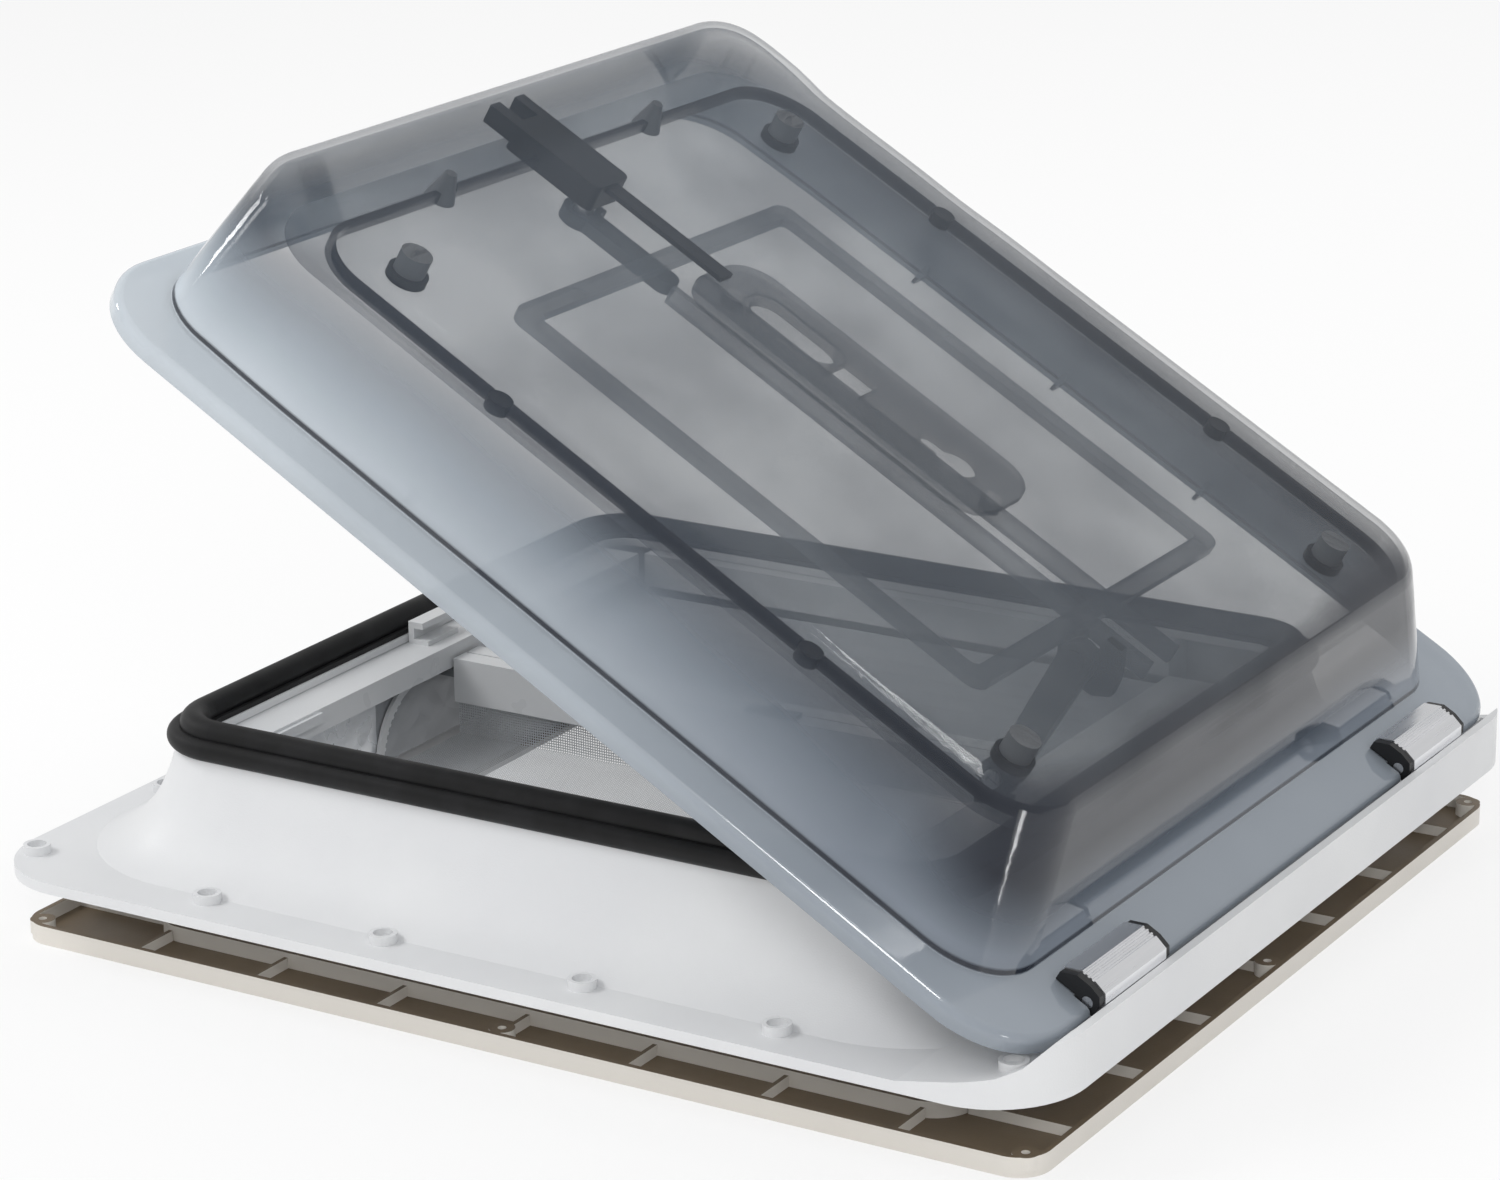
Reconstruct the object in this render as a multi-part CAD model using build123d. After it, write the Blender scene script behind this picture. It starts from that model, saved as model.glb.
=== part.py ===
from build123d import *
from math import cos, radians, sin, tan
import os

# A caravan roof vent: a roof frame with a curb, a smoked double dome on two hinges,
# a ceiling trim below, and a fly screen and a blackout blind inside the curb.
# Millimetres, +Z up.  The origin is the middle of the roof frame on the roof surface,
# the hinges are on the +Y side and the lid opens on the -Y side.
# The lid's parts are drawn closed and are then turned about the hinge to the open rest pose.

# Small values that serve every piece
overrun = 2.0
soft_gap = 0.3
press_gap = 0.02
running_gap = 0.05

# Roof frame
roof_cutout = 400.0
flange_margin_x = 41.0
flange_margin_y = 58.0
frame_corner = 40.0
flange_thick = 5.0
cutout_gap = 3.0
spigot_wall = 3.5
spigot_corner = 16.0
roof_thick = 23.5

# Curb that the lid closes on
curb_margin_x = 19.0
curb_margin_y = 4.0
curb_shift = 10.0
curb_height = 55.0
curb_corner = 30.0
curb_spread = 44.0
curb_wall = 4.5
curb_lip_thick = 3.5
curb_seat = 16.0
curb_flare_shares = [(1.0, 0.0), (0.55, 0.2), (0.28, 0.46), (0.15, 0.7), (0.06, 1.0)]

# Hinge side of the frame: a ramp up to a channel behind a rim
rim_height = 24.3
rim_wall = 4.0
channel_floor = 13.0
channel_width = 14.0
ramp_run = 43.0
ramp_skin = 3.0
rim_fall_shares = [(0.0, 0.21), (0.66, 0.52), (0.80, 0.67), (0.93, 1.0)]

# Screw bosses of the frame
boss_radius = 6.0
boss_height = 4.0
boss_floor = 1.2
boss_pocket_radius = 4.2
screw_hole_radius = 2.5
side_boss_inset = 18.0
side_boss_shift = 6.0
side_boss_inner = 49.0
side_boss_outer = 140.0
free_boss_inset_x = 116.0
free_boss_inset_y = 13.0
free_corner_inset_x = 27.0
free_corner_inset_y = 12.0
hinge_corner_inset_x = 19.0
hinge_corner_inset_y = 20.0
hinge_boss_sink = 0.7

# Seal of two lobes on the curb
seal_lobe_radius = 6.3
seal_lobe_inset = 6.5
seal_skirt_radius = 4.6
seal_skirt_outset = 1.0
seal_skirt_drop = 0.9
seal_foot = 2.2
seal_foot_inset = 15.0

# Ceiling trim
trim_inset_x = 15.0
trim_inset_y = 9.0
trim_corner = 14.0
trim_height = 8.5
trim_skin = 2.5
trim_opening_inset = 12.0
trim_opening_corner = 34.0
trim_collar_wall = 2.2
trim_collar_height = 7.0
trim_rib_thick = 2.0
trim_rib_pitch = 62.0
trim_ribs = 3
trim_boss_radius = 5.5
trim_boss_hole = 1.8
trim_boss_inset = 7.5
trim_screw_radius = 1.9
trim_screw_head = 3.9
trim_screw_length = 16.0
spigot_post_radius = 4.6
spigot_post_inset = 10.0

# Lid shell
lid_overhang = 0.4
lid_shortfall = 14.0
lid_edge_inset = 6.4
lid_lift = 16.5
lid_free_corner = 45.0
lid_hinge_corner = 40.0
lid_lip = 8.0
lid_wall = 3.0
open_angle = 30.0

# Dome of the lid, as half widths, places along the lid (u) and heights (h)
dome_foot_inset = 22.8
dome_lean = 28.0
dome_room = 19.2
hinge_foot_u = 28.0
hinge_shoulder_u = 56.0
flare_run = 102.0
flare_full_inset = 24.0
flare_foot_step = 2.6
flare_top_step = 6.4
crest_rise = 8.0
crest_run = 66.0
crest_inset = 28.0
free_crest_inset = 20.5
free_foot_inset = 14.0
dome_corner = 38.0
flare_shares = [(0.0, 0.0), (0.25, 0.16), (0.5, 0.5), (0.75, 0.84), (1.0, 1.0), (1.3, 1.05)]
side_sections = 9
shoulder_round = 14.0
shoulder_shift_share = 0.6
brim_round = 3.4
fin_length = 12.0
fin_height = 9.0
fin_thick = 2.0
fin_pitch = 86.0
fin_middle_u = 253.0

# Inner pane
pane_side_gap = 2.6
pane_start_u = 53.0
pane_end_inset = 36.0
seal_room = 10.3
pane_thick = 3.0
pane_corner = 34.0
pane_rib_end_inset = 20.0
pane_rib_rise = 6.0
pane_rib_thick = 3.0
pane_rib_inset = 3.0

# Stiffening frame and centre rails under the pane
ring_inset = 77.0
ring_start_u = 123.0
ring_end_inset = 121.0
ring_bar = 9.0
ring_height = 4.5
ring_corner = 8.0
rail_spacing = 24.0
rail_thick = 4.0
rail_height = 8.0
rail_start_u = 92.0
rail_end_gap = 21.0

# Slotted guide plate and its strap above the pane
guide_width = 57.0
guide_start_u = 184.0
guide_end_inset = 150.0
guide_thick = 3.0
guide_lift = 5.5
guide_foot_radius = 5.0
guide_foot_inset = 14.0
guide_slot_width = 20.0
guide_slot_back = 69.0
guide_slot_front = 23.0
guide_window = 18.0
guide_window_back = 80.0
guide_key_radius = 10.0
guide_key_front = 29.0
guide_rim = 3.0
guide_rim_rise = 1.2
strap_width = 9.0
strap_thick = 2.4

# Latch at the free edge
latch_inset = 82.0
latch_spindle_radius = 5.0
latch_housing_half = 13.0
latch_housing_reach = 42.0
latch_housing_back = 8.0
latch_housing_height = 12.5
latch_spindle_room = 8.0
latch_prong_reach = 14.0
latch_prong_thick = 7.0
latch_hub_radius = 9.0
latch_lever_thick = 6.0
latch_lever_reach = 56.0
latch_lever_width = 12.0
latch_tongue_reach = 17.0
latch_tongue_width = 7.0
latch_tongue_thick = 3.4
keeper_width = 24.0
keeper_wall = 3.0
keeper_cover = 8.0
keeper_clearance = 0.8
keeper_foot = 2.2

# Hinges
hinge_inset = 91.0
hinge_u = 4.0
hinge_h = 9.0
hinge_clip_length = 53.0
clip_reach_u = 20.0
clip_height = 16.5
clip_bore = 4.2
clip_shell = 5.8
clip_mouth_closed = 32.0
clip_mouth_open = 62.0
clip_flute = 0.7
clip_flutes = 3
clip_flute_pitch = 2.2
clip_toe = 4.5
clip_slope = 7.0
clip_screw_grip = 4.0
cap_thick = 4.0
cap_inset = 0.6
notch_gap = 0.5
pin_radius = 2.5
knuckle_radius = 3.8
knuckle_length = 20.0
bracket_neck = 4.0
bracket_foot_thick = 2.5
bracket_length = 48.0
bracket_screw_x = 17.0
small_screw_radius = 1.6
small_head_radius = 3.2
small_head_height = 1.6
small_screw_length = 7.0
clip_screw_x = 15.0
clip_screw_u = 15.0

# Spacers between pane and dome
spacer_radius = 7.0
spacer_cap_radius = 9.0
spacer_cap_height = 4.0
spacer_free_inset = 40.6
spacer_free_end = 90.0
spacer_hinge_inset = 43.6
spacer_hinge_u = 88.0
cone_x_inset = 106.0
cone_foot_radius = 7.0
cone_head_radius = 2.6
plug_radius = 5.5
plug_inset = 4.0
plug_height = 5.5
plug_hinge_u = 170.0
plug_free_inset = 167.0

# Stay: a forked arm on a lug under the pane
stay_pivot_u = 117.0
stay_pivot_drop = 12.8
stay_pin_radius = 3.0
stay_start_x = 20.0
stay_thick = 8.0
stay_unit = 10.0
stay_fork_shares = [(-1.3, 1.0), (-0.5, 1.0), (-0.4, 0.0), (0.3, 0.0), (0.45, 1.0), (1.3, 1.0)]
stay_web_shares = [(1.35, 0.0), (0.9, -0.9), (0.0, -1.35), (-1.2, -1.3), (-1.9, -0.8), (-1.8, 0.1)]
stay_crotch_share = 0.4
stay_bracket_thick = 5.5
stay_pin_head = 1.6
stay_pin_head_radius = 4.8
stay_head_radius = 8.0
stay_half = 6.5
stay_foot_gap = 0.43
stay_lean = 1.0
stay_boss_radius = 8.0
stay_tip = 8.0
stay_tip_shift = 2.0
stay_tip_radius = 4.5
shoe_cheek = 4.0
shoe_sole = 1.6
shoe_sole_setback = 7.7
stay_shoe_length = 14.0
stay_shoe_height = 4.4
knob_radius = 8.5
knob_height = 9.0
knob_grips = 8
knob_grip_radius = 1.6
knob_screw_radius = 2.5
knob_head_radius = 4.2
knob_head_height = 2.2

# Shade rails, cassettes and bars inside the curb
rail_drop = 3.8
rail_skin = 3.2
rail_depth = 36.0
rail_face_drop = 11.0
rail_end_play = 1.0
rail_tab_width = 6.0
rail_tab_thick = 3.0
rail_tab_lap = 7.0
rail_tab_places = [34.0, 74.0]
rail_back_gap = 1.2
rail_step_x = 108.0
rail_step = 2.2
housing_depth = 68.0
housing_drop = 19.0
housing_lip = 5.5
housing_bottom = 3.0
cassette_inset = 24.0
cassette_width = 19.0
cassette_bottom = 2.0
cassette_wall = 2.0
cassette_gap = 1.0
cassette_slot = 5.0
bar_width = 10.0
bar_drop = 6.2
bar_height = 21.0
bar_web = 3.0
bar_lip = 2.5
bar_gap = 0.6
bar_parting = 1.0
bar_meet_x = -5.0
shoe_length = 10.0
shoe_neck = 4.0
shoe_width = 9.0
catch_length = 26.0
catch_width = 7.0
catch_height = 4.0

# Soft shades, as their solids
screen_thick = 0.8
screen_floor = 7.0
screen_pleats = 5
screen_pleat = 7.0
screen_pleat_rise = 3.0
blind_thick = 1.0
blind_lift = 6.0
blind_pleats = 9
blind_pleat_rise = 3.5

# Lining along the free side
lining_thick = 1.2
lining_depth = 22.0
lining_drop = 18.2
lining_bottom = 2.0
lining_split_x = 46.0
edge_teeth = 9
edge_tooth = 1.6
edge_width = 4.0
edge_thick = 1.8
edge_radius = 34.0
edge_sweep = 62.0

# Values that follow from those above
frame_width = roof_cutout + 2 * flange_margin_x
frame_length = roof_cutout + 2 * flange_margin_y
curb_width = roof_cutout - 2 * curb_margin_x
curb_length = roof_cutout - 2 * curb_margin_y
side_boss_x = frame_width / 2 - side_boss_inset
free_boss_x = frame_width / 2 - free_boss_inset_x
free_boss_y = frame_length / 2 - free_boss_inset_y
free_corner_boss_x = frame_width / 2 - free_corner_inset_x
free_corner_boss_y = frame_length / 2 - free_corner_inset_y
hinge_corner_boss_x = frame_width / 2 - hinge_corner_inset_x
hinge_corner_boss_y = frame_length / 2 - hinge_corner_inset_y
trim_width = frame_width - 2 * trim_inset_x
trim_length = frame_length - 2 * trim_inset_y
trim_opening = roof_cutout - 2 * trim_opening_inset
lid_width = frame_width + 2 * lid_overhang
lid_length = frame_length - lid_shortfall
lid_edge_y = frame_length / 2 - lid_edge_inset
pane_height = curb_height - lid_lift + seal_room
dome_height = pane_height + dome_room
crest_height = dome_height + crest_rise
rail_top = curb_height - rail_drop
housing_top = curb_height - housing_drop
bar_top = rail_top - bar_drop
bar_bottom = bar_top - bar_height
blind_level = bar_bottom + blind_lift
lining_top = rail_top - lining_drop
stay_pivot_h = pane_height - stay_pivot_drop
dome_foot_half = lid_width / 2 - dome_foot_inset
dome_top_half = dome_foot_half - dome_lean
flare_start_u = lid_length - flare_run
flare_full_u = lid_length - flare_full_inset
flare_foot_half = dome_foot_half - flare_foot_step
flare_top_half = dome_top_half + flare_top_step
crest_start_u = lid_length - crest_run
crest_u = lid_length - crest_inset
free_crest_u = lid_length - free_crest_inset
free_foot_u = lid_length - free_foot_inset
pane_half = dome_top_half - pane_side_gap
pane_end_u = lid_length - pane_end_inset
pane_rib_end_u = pane_end_u - pane_rib_end_inset
ring_half = pane_half - ring_inset
ring_end_u = lid_length - ring_end_inset
rail_end_u = ring_end_u - rail_end_gap
guide_end_u = lid_length - guide_end_inset
guide_slot_start_u = guide_end_u - guide_slot_back
guide_slot_end_u = guide_end_u - guide_slot_front
guide_window_u = guide_end_u - guide_window_back
guide_key_u = guide_start_u + guide_key_front
latch_u = lid_length - latch_inset
hinge_x = frame_width / 2 - hinge_inset
plug_x = pane_half - plug_inset
cone_x = pane_half - cone_x_inset
spacer_places = [
    (dome_top_half - spacer_free_inset, lid_length - spacer_free_end),
    (dome_top_half - spacer_hinge_inset, spacer_hinge_u),
]
plug_places_u = [plug_hinge_u, lid_length - plug_free_inset]
frame_half_y = frame_length / 2
spigot_size = roof_cutout - 2 * cutout_gap
spigot_inner = spigot_size - 2 * spigot_wall
trim_bottom = -roof_thick - trim_height
spigot_bottom = trim_bottom + trim_skin
rim_inner_y = frame_half_y - rim_wall
channel_y = rim_inner_y - channel_width
ramp_y = channel_y - ramp_run
curb_free_y = curb_length / 2 + curb_shift
curb_hinge_y = curb_length / 2 - curb_shift
lip_underside = curb_height - curb_lip_thick
pane_top = pane_height + pane_thick
seal_top = lid_lift + pane_height - soft_gap
hinge_y = lid_edge_y - hinge_u
hinge_z = lid_lift + hinge_h
clip_start_u = hinge_u + clip_shell
plate_low = lid_lip - lid_wall
latch_low = pane_height - ring_height - soft_gap - latch_lever_thick
latch_spindle_top = pane_top + latch_spindle_room
clip_screw_top = lid_lip + clip_screw_grip
rail_front_y = curb_free_y - rail_depth
housing_front_y = curb_hinge_y - housing_depth
cassette_face = curb_width / 2 - cassette_inset
rail_half = cassette_face - rail_end_play
lining_y = curb_free_y - lining_depth
bar_free_y = -rail_front_y + 2 * bar_gap
bar_hinge_y = housing_front_y - bar_gap


def lid_y(u):
    """World Y of a place along the closed lid, measured from its hinge edge."""
    return lid_edge_y - u


def lid_z(h):
    """World Z of a height above the closed lid's lower edge."""
    return lid_lift + h


def opened(shape):
    """Turns a lid piece from the closed pose to the open rest pose."""
    return shape.rotate(Axis((0, hinge_y, hinge_z), (1, 0, 0)), -open_angle)


def slab(width, length, low, high, corner, middle_y=0.0):
    """Upright rounded block on the centre line."""
    return Pos(0, middle_y, low) * extrude(RectangleRounded(width, length, corner), high - low)


def block(x_span, y_span, z_span):
    """Box from three (low, high) spans."""
    middle = Pos((x_span[0] + x_span[1]) / 2, (y_span[0] + y_span[1]) / 2, z_span[0])
    return middle * extrude(Rectangle(x_span[1] - x_span[0], y_span[1] - y_span[0]), z_span[1] - z_span[0])


def lid_block(x_span, u_span, h_span):
    """Box in the closed lid, from spans across, along and up."""
    y_span = (lid_y(u_span[1]), lid_y(u_span[0]))
    return block(x_span, y_span, (lid_z(h_span[0]), lid_z(h_span[1])))


def lid_slab(half, u_span, h_span, corner):
    """Rounded plate in the closed lid."""
    middle = lid_y((u_span[0] + u_span[1]) / 2)
    return slab(2 * half, u_span[1] - u_span[0], lid_z(h_span[0]), lid_z(h_span[1]), corner, middle)


def post(x, y, low, high, radius):
    """Upright cylinder."""
    return Pos(x, y, low) * extrude(Circle(radius), high - low)


def lid_post(x, u, low, high, radius):
    """Upright cylinder in the closed lid."""
    return post(x, lid_y(u), lid_z(low), lid_z(high), radius)


def along_x(outline, x_span):
    """Solid whose (y, z) outline runs along X."""
    return Pos(x_span[0], 0, 0) * extrude(Plane.YZ * outline, x_span[1] - x_span[0])


def along_y(outline, y_span):
    """Solid whose (x, z) outline runs along Y."""
    return Pos(0, y_span[1], 0) * extrude(Plane.XZ * outline, y_span[1] - y_span[0])


def polygon(points):
    """Flat face through points."""
    return make_face(Polyline(*points, close=True))


def lid_outline(points):
    """Flat (y, z) face from (u, h) points of the closed lid."""
    return polygon([(lid_y(u), lid_z(h)) for u, h in points])


def joined(pieces):
    """One solid from touching pieces."""
    whole = pieces[0]
    for piece in pieces[1:]:
        whole = whole + piece
    return whole


def group(pieces):
    """Separate solids kept together in one node."""
    return Compound([solid for piece in pieces for solid in piece.solids()])


def run_round(section, width, length, corner, middle_y):
    """Carries an (outward, up) section round a rounded rectangle."""
    straight_x = width / 2 - corner
    straight_y = length / 2 - corner
    pieces = []
    for turn in range(4):
        even = turn % 2 == 0
        ahead, along = (straight_x, straight_y) if even else (straight_y, straight_x)
        side = along_y(Pos(ahead + corner, 0) * section, (-along, along))
        bend = revolve(Plane.XZ * Pos(corner, 0) * section, Axis.Z, 90)
        pieces.append(Pos(0, middle_y, 0) * Rot(0, 0, 90 * turn) * (side + Pos(ahead, along, 0) * bend))
    return joined(pieces)


def boss_places():
    """Screw places of the flange as (x, y, floor height)."""
    places = []
    for side in (-1, 1):
        for step in (-side_boss_outer, -side_boss_inner, side_boss_inner, side_boss_outer):
            places.append((side * side_boss_x, step - side_boss_shift, flange_thick))
        places.append((side * free_boss_x, -free_boss_y, flange_thick))
        places.append((side * free_corner_boss_x, -free_corner_boss_y, flange_thick))
        ramp_height = lid_lift - boss_height - hinge_boss_sink
        places.append((side * hinge_corner_boss_x, hinge_corner_boss_y, ramp_height))
    return places


def curb_body():
    """Flared curb as one smooth loft."""
    sections = []
    for up_share, out_share in curb_flare_shares:
        out = curb_spread * out_share
        outline = RectangleRounded(curb_width + 2 * out, curb_length + 2 * out, curb_corner + out)
        sections.append(Pos(0, -curb_shift, curb_height * up_share) * outline)
    return loft(sections)


def curb_void():
    """Inside of spigot and curb below the lip, and the opening in the lip."""
    low = Pos(0, 0, flange_thick) * RectangleRounded(spigot_inner, spigot_inner, spigot_corner - spigot_wall)
    high_outline = RectangleRounded(curb_width - 2 * curb_wall, curb_length - 2 * curb_wall, curb_corner - curb_wall)
    high = Pos(0, -curb_shift, lip_underside) * high_outline
    throat = slab(spigot_inner, spigot_inner, spigot_bottom - overrun, flange_thick, spigot_corner - spigot_wall)
    mouth = slab(
        curb_width - 2 * curb_seat,
        curb_length - 2 * curb_seat,
        lip_underside,
        curb_height + overrun,
        curb_corner - curb_seat,
        -curb_shift,
    )
    return throat + loft([low, high], ruled=True) + mouth


def hinge_rim():
    """Ramp, channel and the rim that falls away round the hinge corners."""
    outline = slab(frame_width, frame_length, 0, rim_height, frame_corner)
    core = slab(frame_width - 2 * rim_wall, frame_length - 2 * rim_wall, 0, rim_height, frame_corner - rim_wall)
    ramp_points = [(ramp_y, 0), (ramp_y, flange_thick), (channel_y, channel_floor)]
    ramp_points += [(frame_half_y, channel_floor), (frame_half_y, 0)]
    ramp = along_x(polygon(ramp_points), (-frame_width / 2, frame_width / 2)) & outline
    run = frame_half_y - ramp_y
    rim_points = [(ramp_y, 0)]
    rim_points += [(ramp_y + run * along, rim_height * up) for along, up in rim_fall_shares]
    rim_points += [(frame_half_y + overrun, rim_height), (frame_half_y + overrun, 0)]
    rim = along_x(polygon(rim_points), (-frame_width / 2, frame_width / 2)) & (outline - core)
    return ramp + rim


def ramp_hollow():
    """Space under the ramp, one skin below its top."""
    start_y = ramp_y + ramp_skin * ramp_run / (channel_floor - flange_thick)
    points = [(start_y, 0), (channel_y, channel_floor - ramp_skin)]
    points += [(rim_inner_y, channel_floor - ramp_skin), (rim_inner_y, 0)]
    half = frame_width / 2 - frame_corner
    return along_x(polygon(points), (-half, half))


def spigot_posts():
    """Screw posts in the corners of the spigot."""
    place = spigot_inner / 2 - spigot_post_inset
    return [(side_x * place, side_y * place) for side_x in (-1, 1) for side_y in (-1, 1)]


def outer_frame():
    """White moulded roof frame."""
    body = slab(frame_width, frame_length, 0, flange_thick, frame_corner)
    body = body + curb_body() + hinge_rim()
    body = body + slab(spigot_size, spigot_size, spigot_bottom, overrun, spigot_corner)
    body = body - ramp_hollow() - curb_void()
    for x, y in spigot_posts():
        sleeve = post(x, y, spigot_bottom, -overrun, spigot_post_radius)
        web = block(
            tuple(sorted((x, x + (spigot_post_inset + press_gap) * x / abs(x)))),
            (y - spigot_wall / 2, y + spigot_wall / 2),
            (spigot_bottom, -overrun),
        )
        body = body + sleeve + web
        body = body - post(x, y, spigot_bottom - overrun, spigot_bottom + trim_screw_length, trim_screw_radius)
    for x, y, floor in boss_places():
        body = body + post(x, y, floor - overrun, floor + boss_height, boss_radius)
        body = body - post(x, y, floor + boss_floor, floor + boss_height + overrun, boss_pocket_radius)
        body = body - post(x, y, -overrun, floor + boss_height, screw_hole_radius)
    for side in (-1, 1):
        for step in (-1, 1):
            x = side * hinge_x + step * bracket_screw_x
            y = (channel_y + rim_inner_y) / 2
            body = body - post(x, y, -overrun, channel_floor + overrun, small_screw_radius + press_gap)
    return body


def lid_seal():
    """Black rubber seal with a bulb above and a skirt lobe outside the curb's edge."""
    bulb = Pos(-seal_lobe_inset, seal_top - seal_lobe_radius) * Circle(seal_lobe_radius)
    skirt = Pos(seal_skirt_outset, curb_height - seal_skirt_drop) * Circle(seal_skirt_radius)
    foot = Pos(-seal_foot_inset / 2, curb_height + seal_foot / 2) * Rectangle(seal_foot_inset, seal_foot)
    wall_up, wall_out = curb_flare_shares[1]
    below = curb_height * (1 - wall_up)
    curb_side = polygon(
        [(-curb_seat, curb_height), (0, curb_height), (curb_spread * wall_out, curb_height - below)]
        + [(-curb_seat, curb_height - below)]
    )
    section = (bulb + skirt + foot) - curb_side
    return run_round(section.faces().sort_by(SortBy.AREA)[-1], curb_width, curb_length, curb_corner, -curb_shift)


def ceiling_trim():
    """Beige frame on the ceiling side, open upwards, with ribs and screw bosses."""
    body = slab(trim_width, trim_length, trim_bottom, -roof_thick, trim_corner)
    inner_width = trim_width - 2 * trim_skin
    inner_length = trim_length - 2 * trim_skin
    floor = trim_bottom + trim_skin
    body = body - slab(inner_width, inner_length, floor, overrun - roof_thick, trim_corner - trim_skin)
    collar_inner = spigot_size + 2 * soft_gap
    collar_outer = collar_inner + 2 * trim_collar_wall
    collar_top = floor + trim_collar_height
    collar = slab(collar_outer, collar_outer, floor, collar_top, spigot_corner + trim_collar_wall)
    body = body + collar - slab(collar_inner, collar_inner, floor, collar_top + overrun, spigot_corner)
    body = body - slab(trim_opening, trim_opening, trim_bottom - overrun, floor + overrun, trim_opening_corner)
    rib_low = collar_outer / 2
    rib_top = -roof_thick - trim_skin / 2
    for count in range(-trim_ribs, trim_ribs + 1):
        place = count * trim_rib_pitch
        for side in (-1, 1):
            y_span = tuple(sorted((side * rib_low, side * inner_length / 2)))
            body = body + block((place - trim_rib_thick / 2, place + trim_rib_thick / 2), y_span, (floor, rib_top))
            x_span = tuple(sorted((side * rib_low, side * inner_width / 2)))
            body = body + block(x_span, (place - trim_rib_thick / 2, place + trim_rib_thick / 2), (floor, rib_top))
    for x, y in trim_boss_places():
        body = body + post(x, y, floor, -roof_thick, trim_boss_radius)
        body = body - post(x, y, trim_bottom - overrun, overrun - roof_thick, trim_boss_hole)
    for x, y in spigot_posts():
        body = body - post(x, y, trim_bottom - overrun, floor + overrun, trim_screw_radius + press_gap)
        body = body - post(x, y, trim_bottom - overrun, trim_bottom + small_head_height, trim_screw_head + press_gap)
    return body


def trim_boss_places():
    """Screw bosses of the trim: corners and the middle of each side."""
    far_x = trim_width / 2 - trim_boss_inset
    far_y = trim_length / 2 - trim_boss_inset
    corners = [(side_x * far_x, side_y * far_y) for side_x in (-1, 1) for side_y in (-1, 1)]
    return corners + [(far_x, 0), (-far_x, 0), (0, far_y), (0, -far_y)]


def trim_screws():
    """Countersunk screws that hold the trim under the spigot."""
    screws = []
    for x, y in spigot_posts():
        head = post(x, y, trim_bottom, trim_bottom + small_head_height, trim_screw_head)
        shank = post(x, y, trim_bottom, spigot_bottom + trim_screw_length - overrun, trim_screw_radius - press_gap)
        screws.append(head + shank)
    return group(screws)


def half_at(h, foot_half, top_half, top_h):
    """Half width of a leaning side wall at a height."""
    return foot_half - (h - lid_lip) * (foot_half - top_half) / (top_h - lid_lip)


def dome_section(u, flare, inset, low, high):
    """Cross section of the dome: leaning sides, from low to high."""
    corners = []
    for h in (low, high):
        plain = half_at(h, dome_foot_half, dome_top_half, dome_height)
        full = half_at(h, flare_foot_half, flare_top_half, crest_height)
        corners.append((plain + (full - plain) * flare - inset, lid_z(h)))
    (low_half, low_z), (high_half, high_z) = corners
    points = [(low_half, low_z), (high_half, high_z), (-high_half, high_z), (-low_half, low_z)]
    return Pos(0, lid_y(u), 0) * (Plane.XZ * polygon(points))


def dome_profile(inset, low):
    """Side view of the dome with its smooth crest, as a (y, z) face."""
    hinge_slope = (hinge_shoulder_u - hinge_foot_u) / (dome_height - lid_lip)
    free_slope = (free_foot_u - free_crest_u) / (crest_height - lid_lip)
    deep = low - inset
    top, crest = dome_height - inset, crest_height - inset
    places = [
        (hinge_foot_u + inset + (deep - lid_lip) * hinge_slope, deep),
        (hinge_shoulder_u + inset * shoulder_shift_share, top),
        (crest_start_u, top),
        (crest_u, crest),
        (free_crest_u - inset, crest),
        (free_foot_u - inset - (deep - lid_lip) * free_slope, deep),
    ]
    points = [(0, lid_y(u), lid_z(h)) for u, h in places]
    rise = Spline([points[2], points[3]], tangents=[(0, -1, 0), (0, -1, 0)])
    back = Polyline(points[0], points[1], points[2])
    front = Polyline(points[3], points[4], points[5], points[0])
    return Face(Wire(back.edges() + rise.edges() + front.edges()))


def crosses_top(edge):
    """True for a line that runs across the dome's top at its crest."""
    box = edge.bounding_box()
    middle = (box.min.Y + box.max.Y) / 2
    low, high = lid_y(crest_u) - overrun, lid_y(crest_start_u) + overrun
    return box.max.X - box.min.X > dome_top_half and low < middle < high


def dome_solid(inset, low):
    """Dome body; an inset gives the space inside it."""
    high = crest_height + overrun
    run = flare_full_u - flare_start_u
    spans = [(flare_start_u * step / side_sections, 0.0) for step in range(side_sections)]
    spans += [(flare_start_u + run * along, flare) for along, flare in flare_shares]
    sides = loft([dome_section(u, flare, inset, low, high) for u, flare in spans])
    profile = Pos(-lid_width / 2, 0, 0) * dome_profile(inset, low)
    body = sides & extrude(profile, amount=lid_width, dir=(1, 0, 0))
    upright = body.edges().filter_by(lambda edge: abs(edge.tangent_at(0.5).Z) > 0.7)
    body = fillet(upright, dome_corner - inset)
    level = lid_z(dome_height) - inset - soft_gap * 2
    rim = [
        edge
        for edge in body.edges()
        if min(vertex.Z for vertex in edge.vertices()) > level and not crosses_top(edge)
    ]
    return fillet(rim, shoulder_round - inset)


def dome_fins():
    """Small gussets inside the foot of both long walls."""
    foot = dome_foot_half - lid_wall
    lean = dome_lean / (dome_height - lid_lip) * fin_height
    points = [
        (foot + lid_wall / 2, lid_z(lid_lip)),
        (foot - fin_length, lid_z(lid_lip)),
        (foot - lean + lid_wall / 2, lid_z(lid_lip + fin_height)),
    ]
    fins = []
    for step in (-1, 0, 1):
        y = lid_y(fin_middle_u + step * fin_pitch)
        fin = along_y(polygon(points), (y - fin_thick / 2, y + fin_thick / 2))
        fins += [fin, fin.mirror(Plane.YZ)]
    return fins


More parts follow.
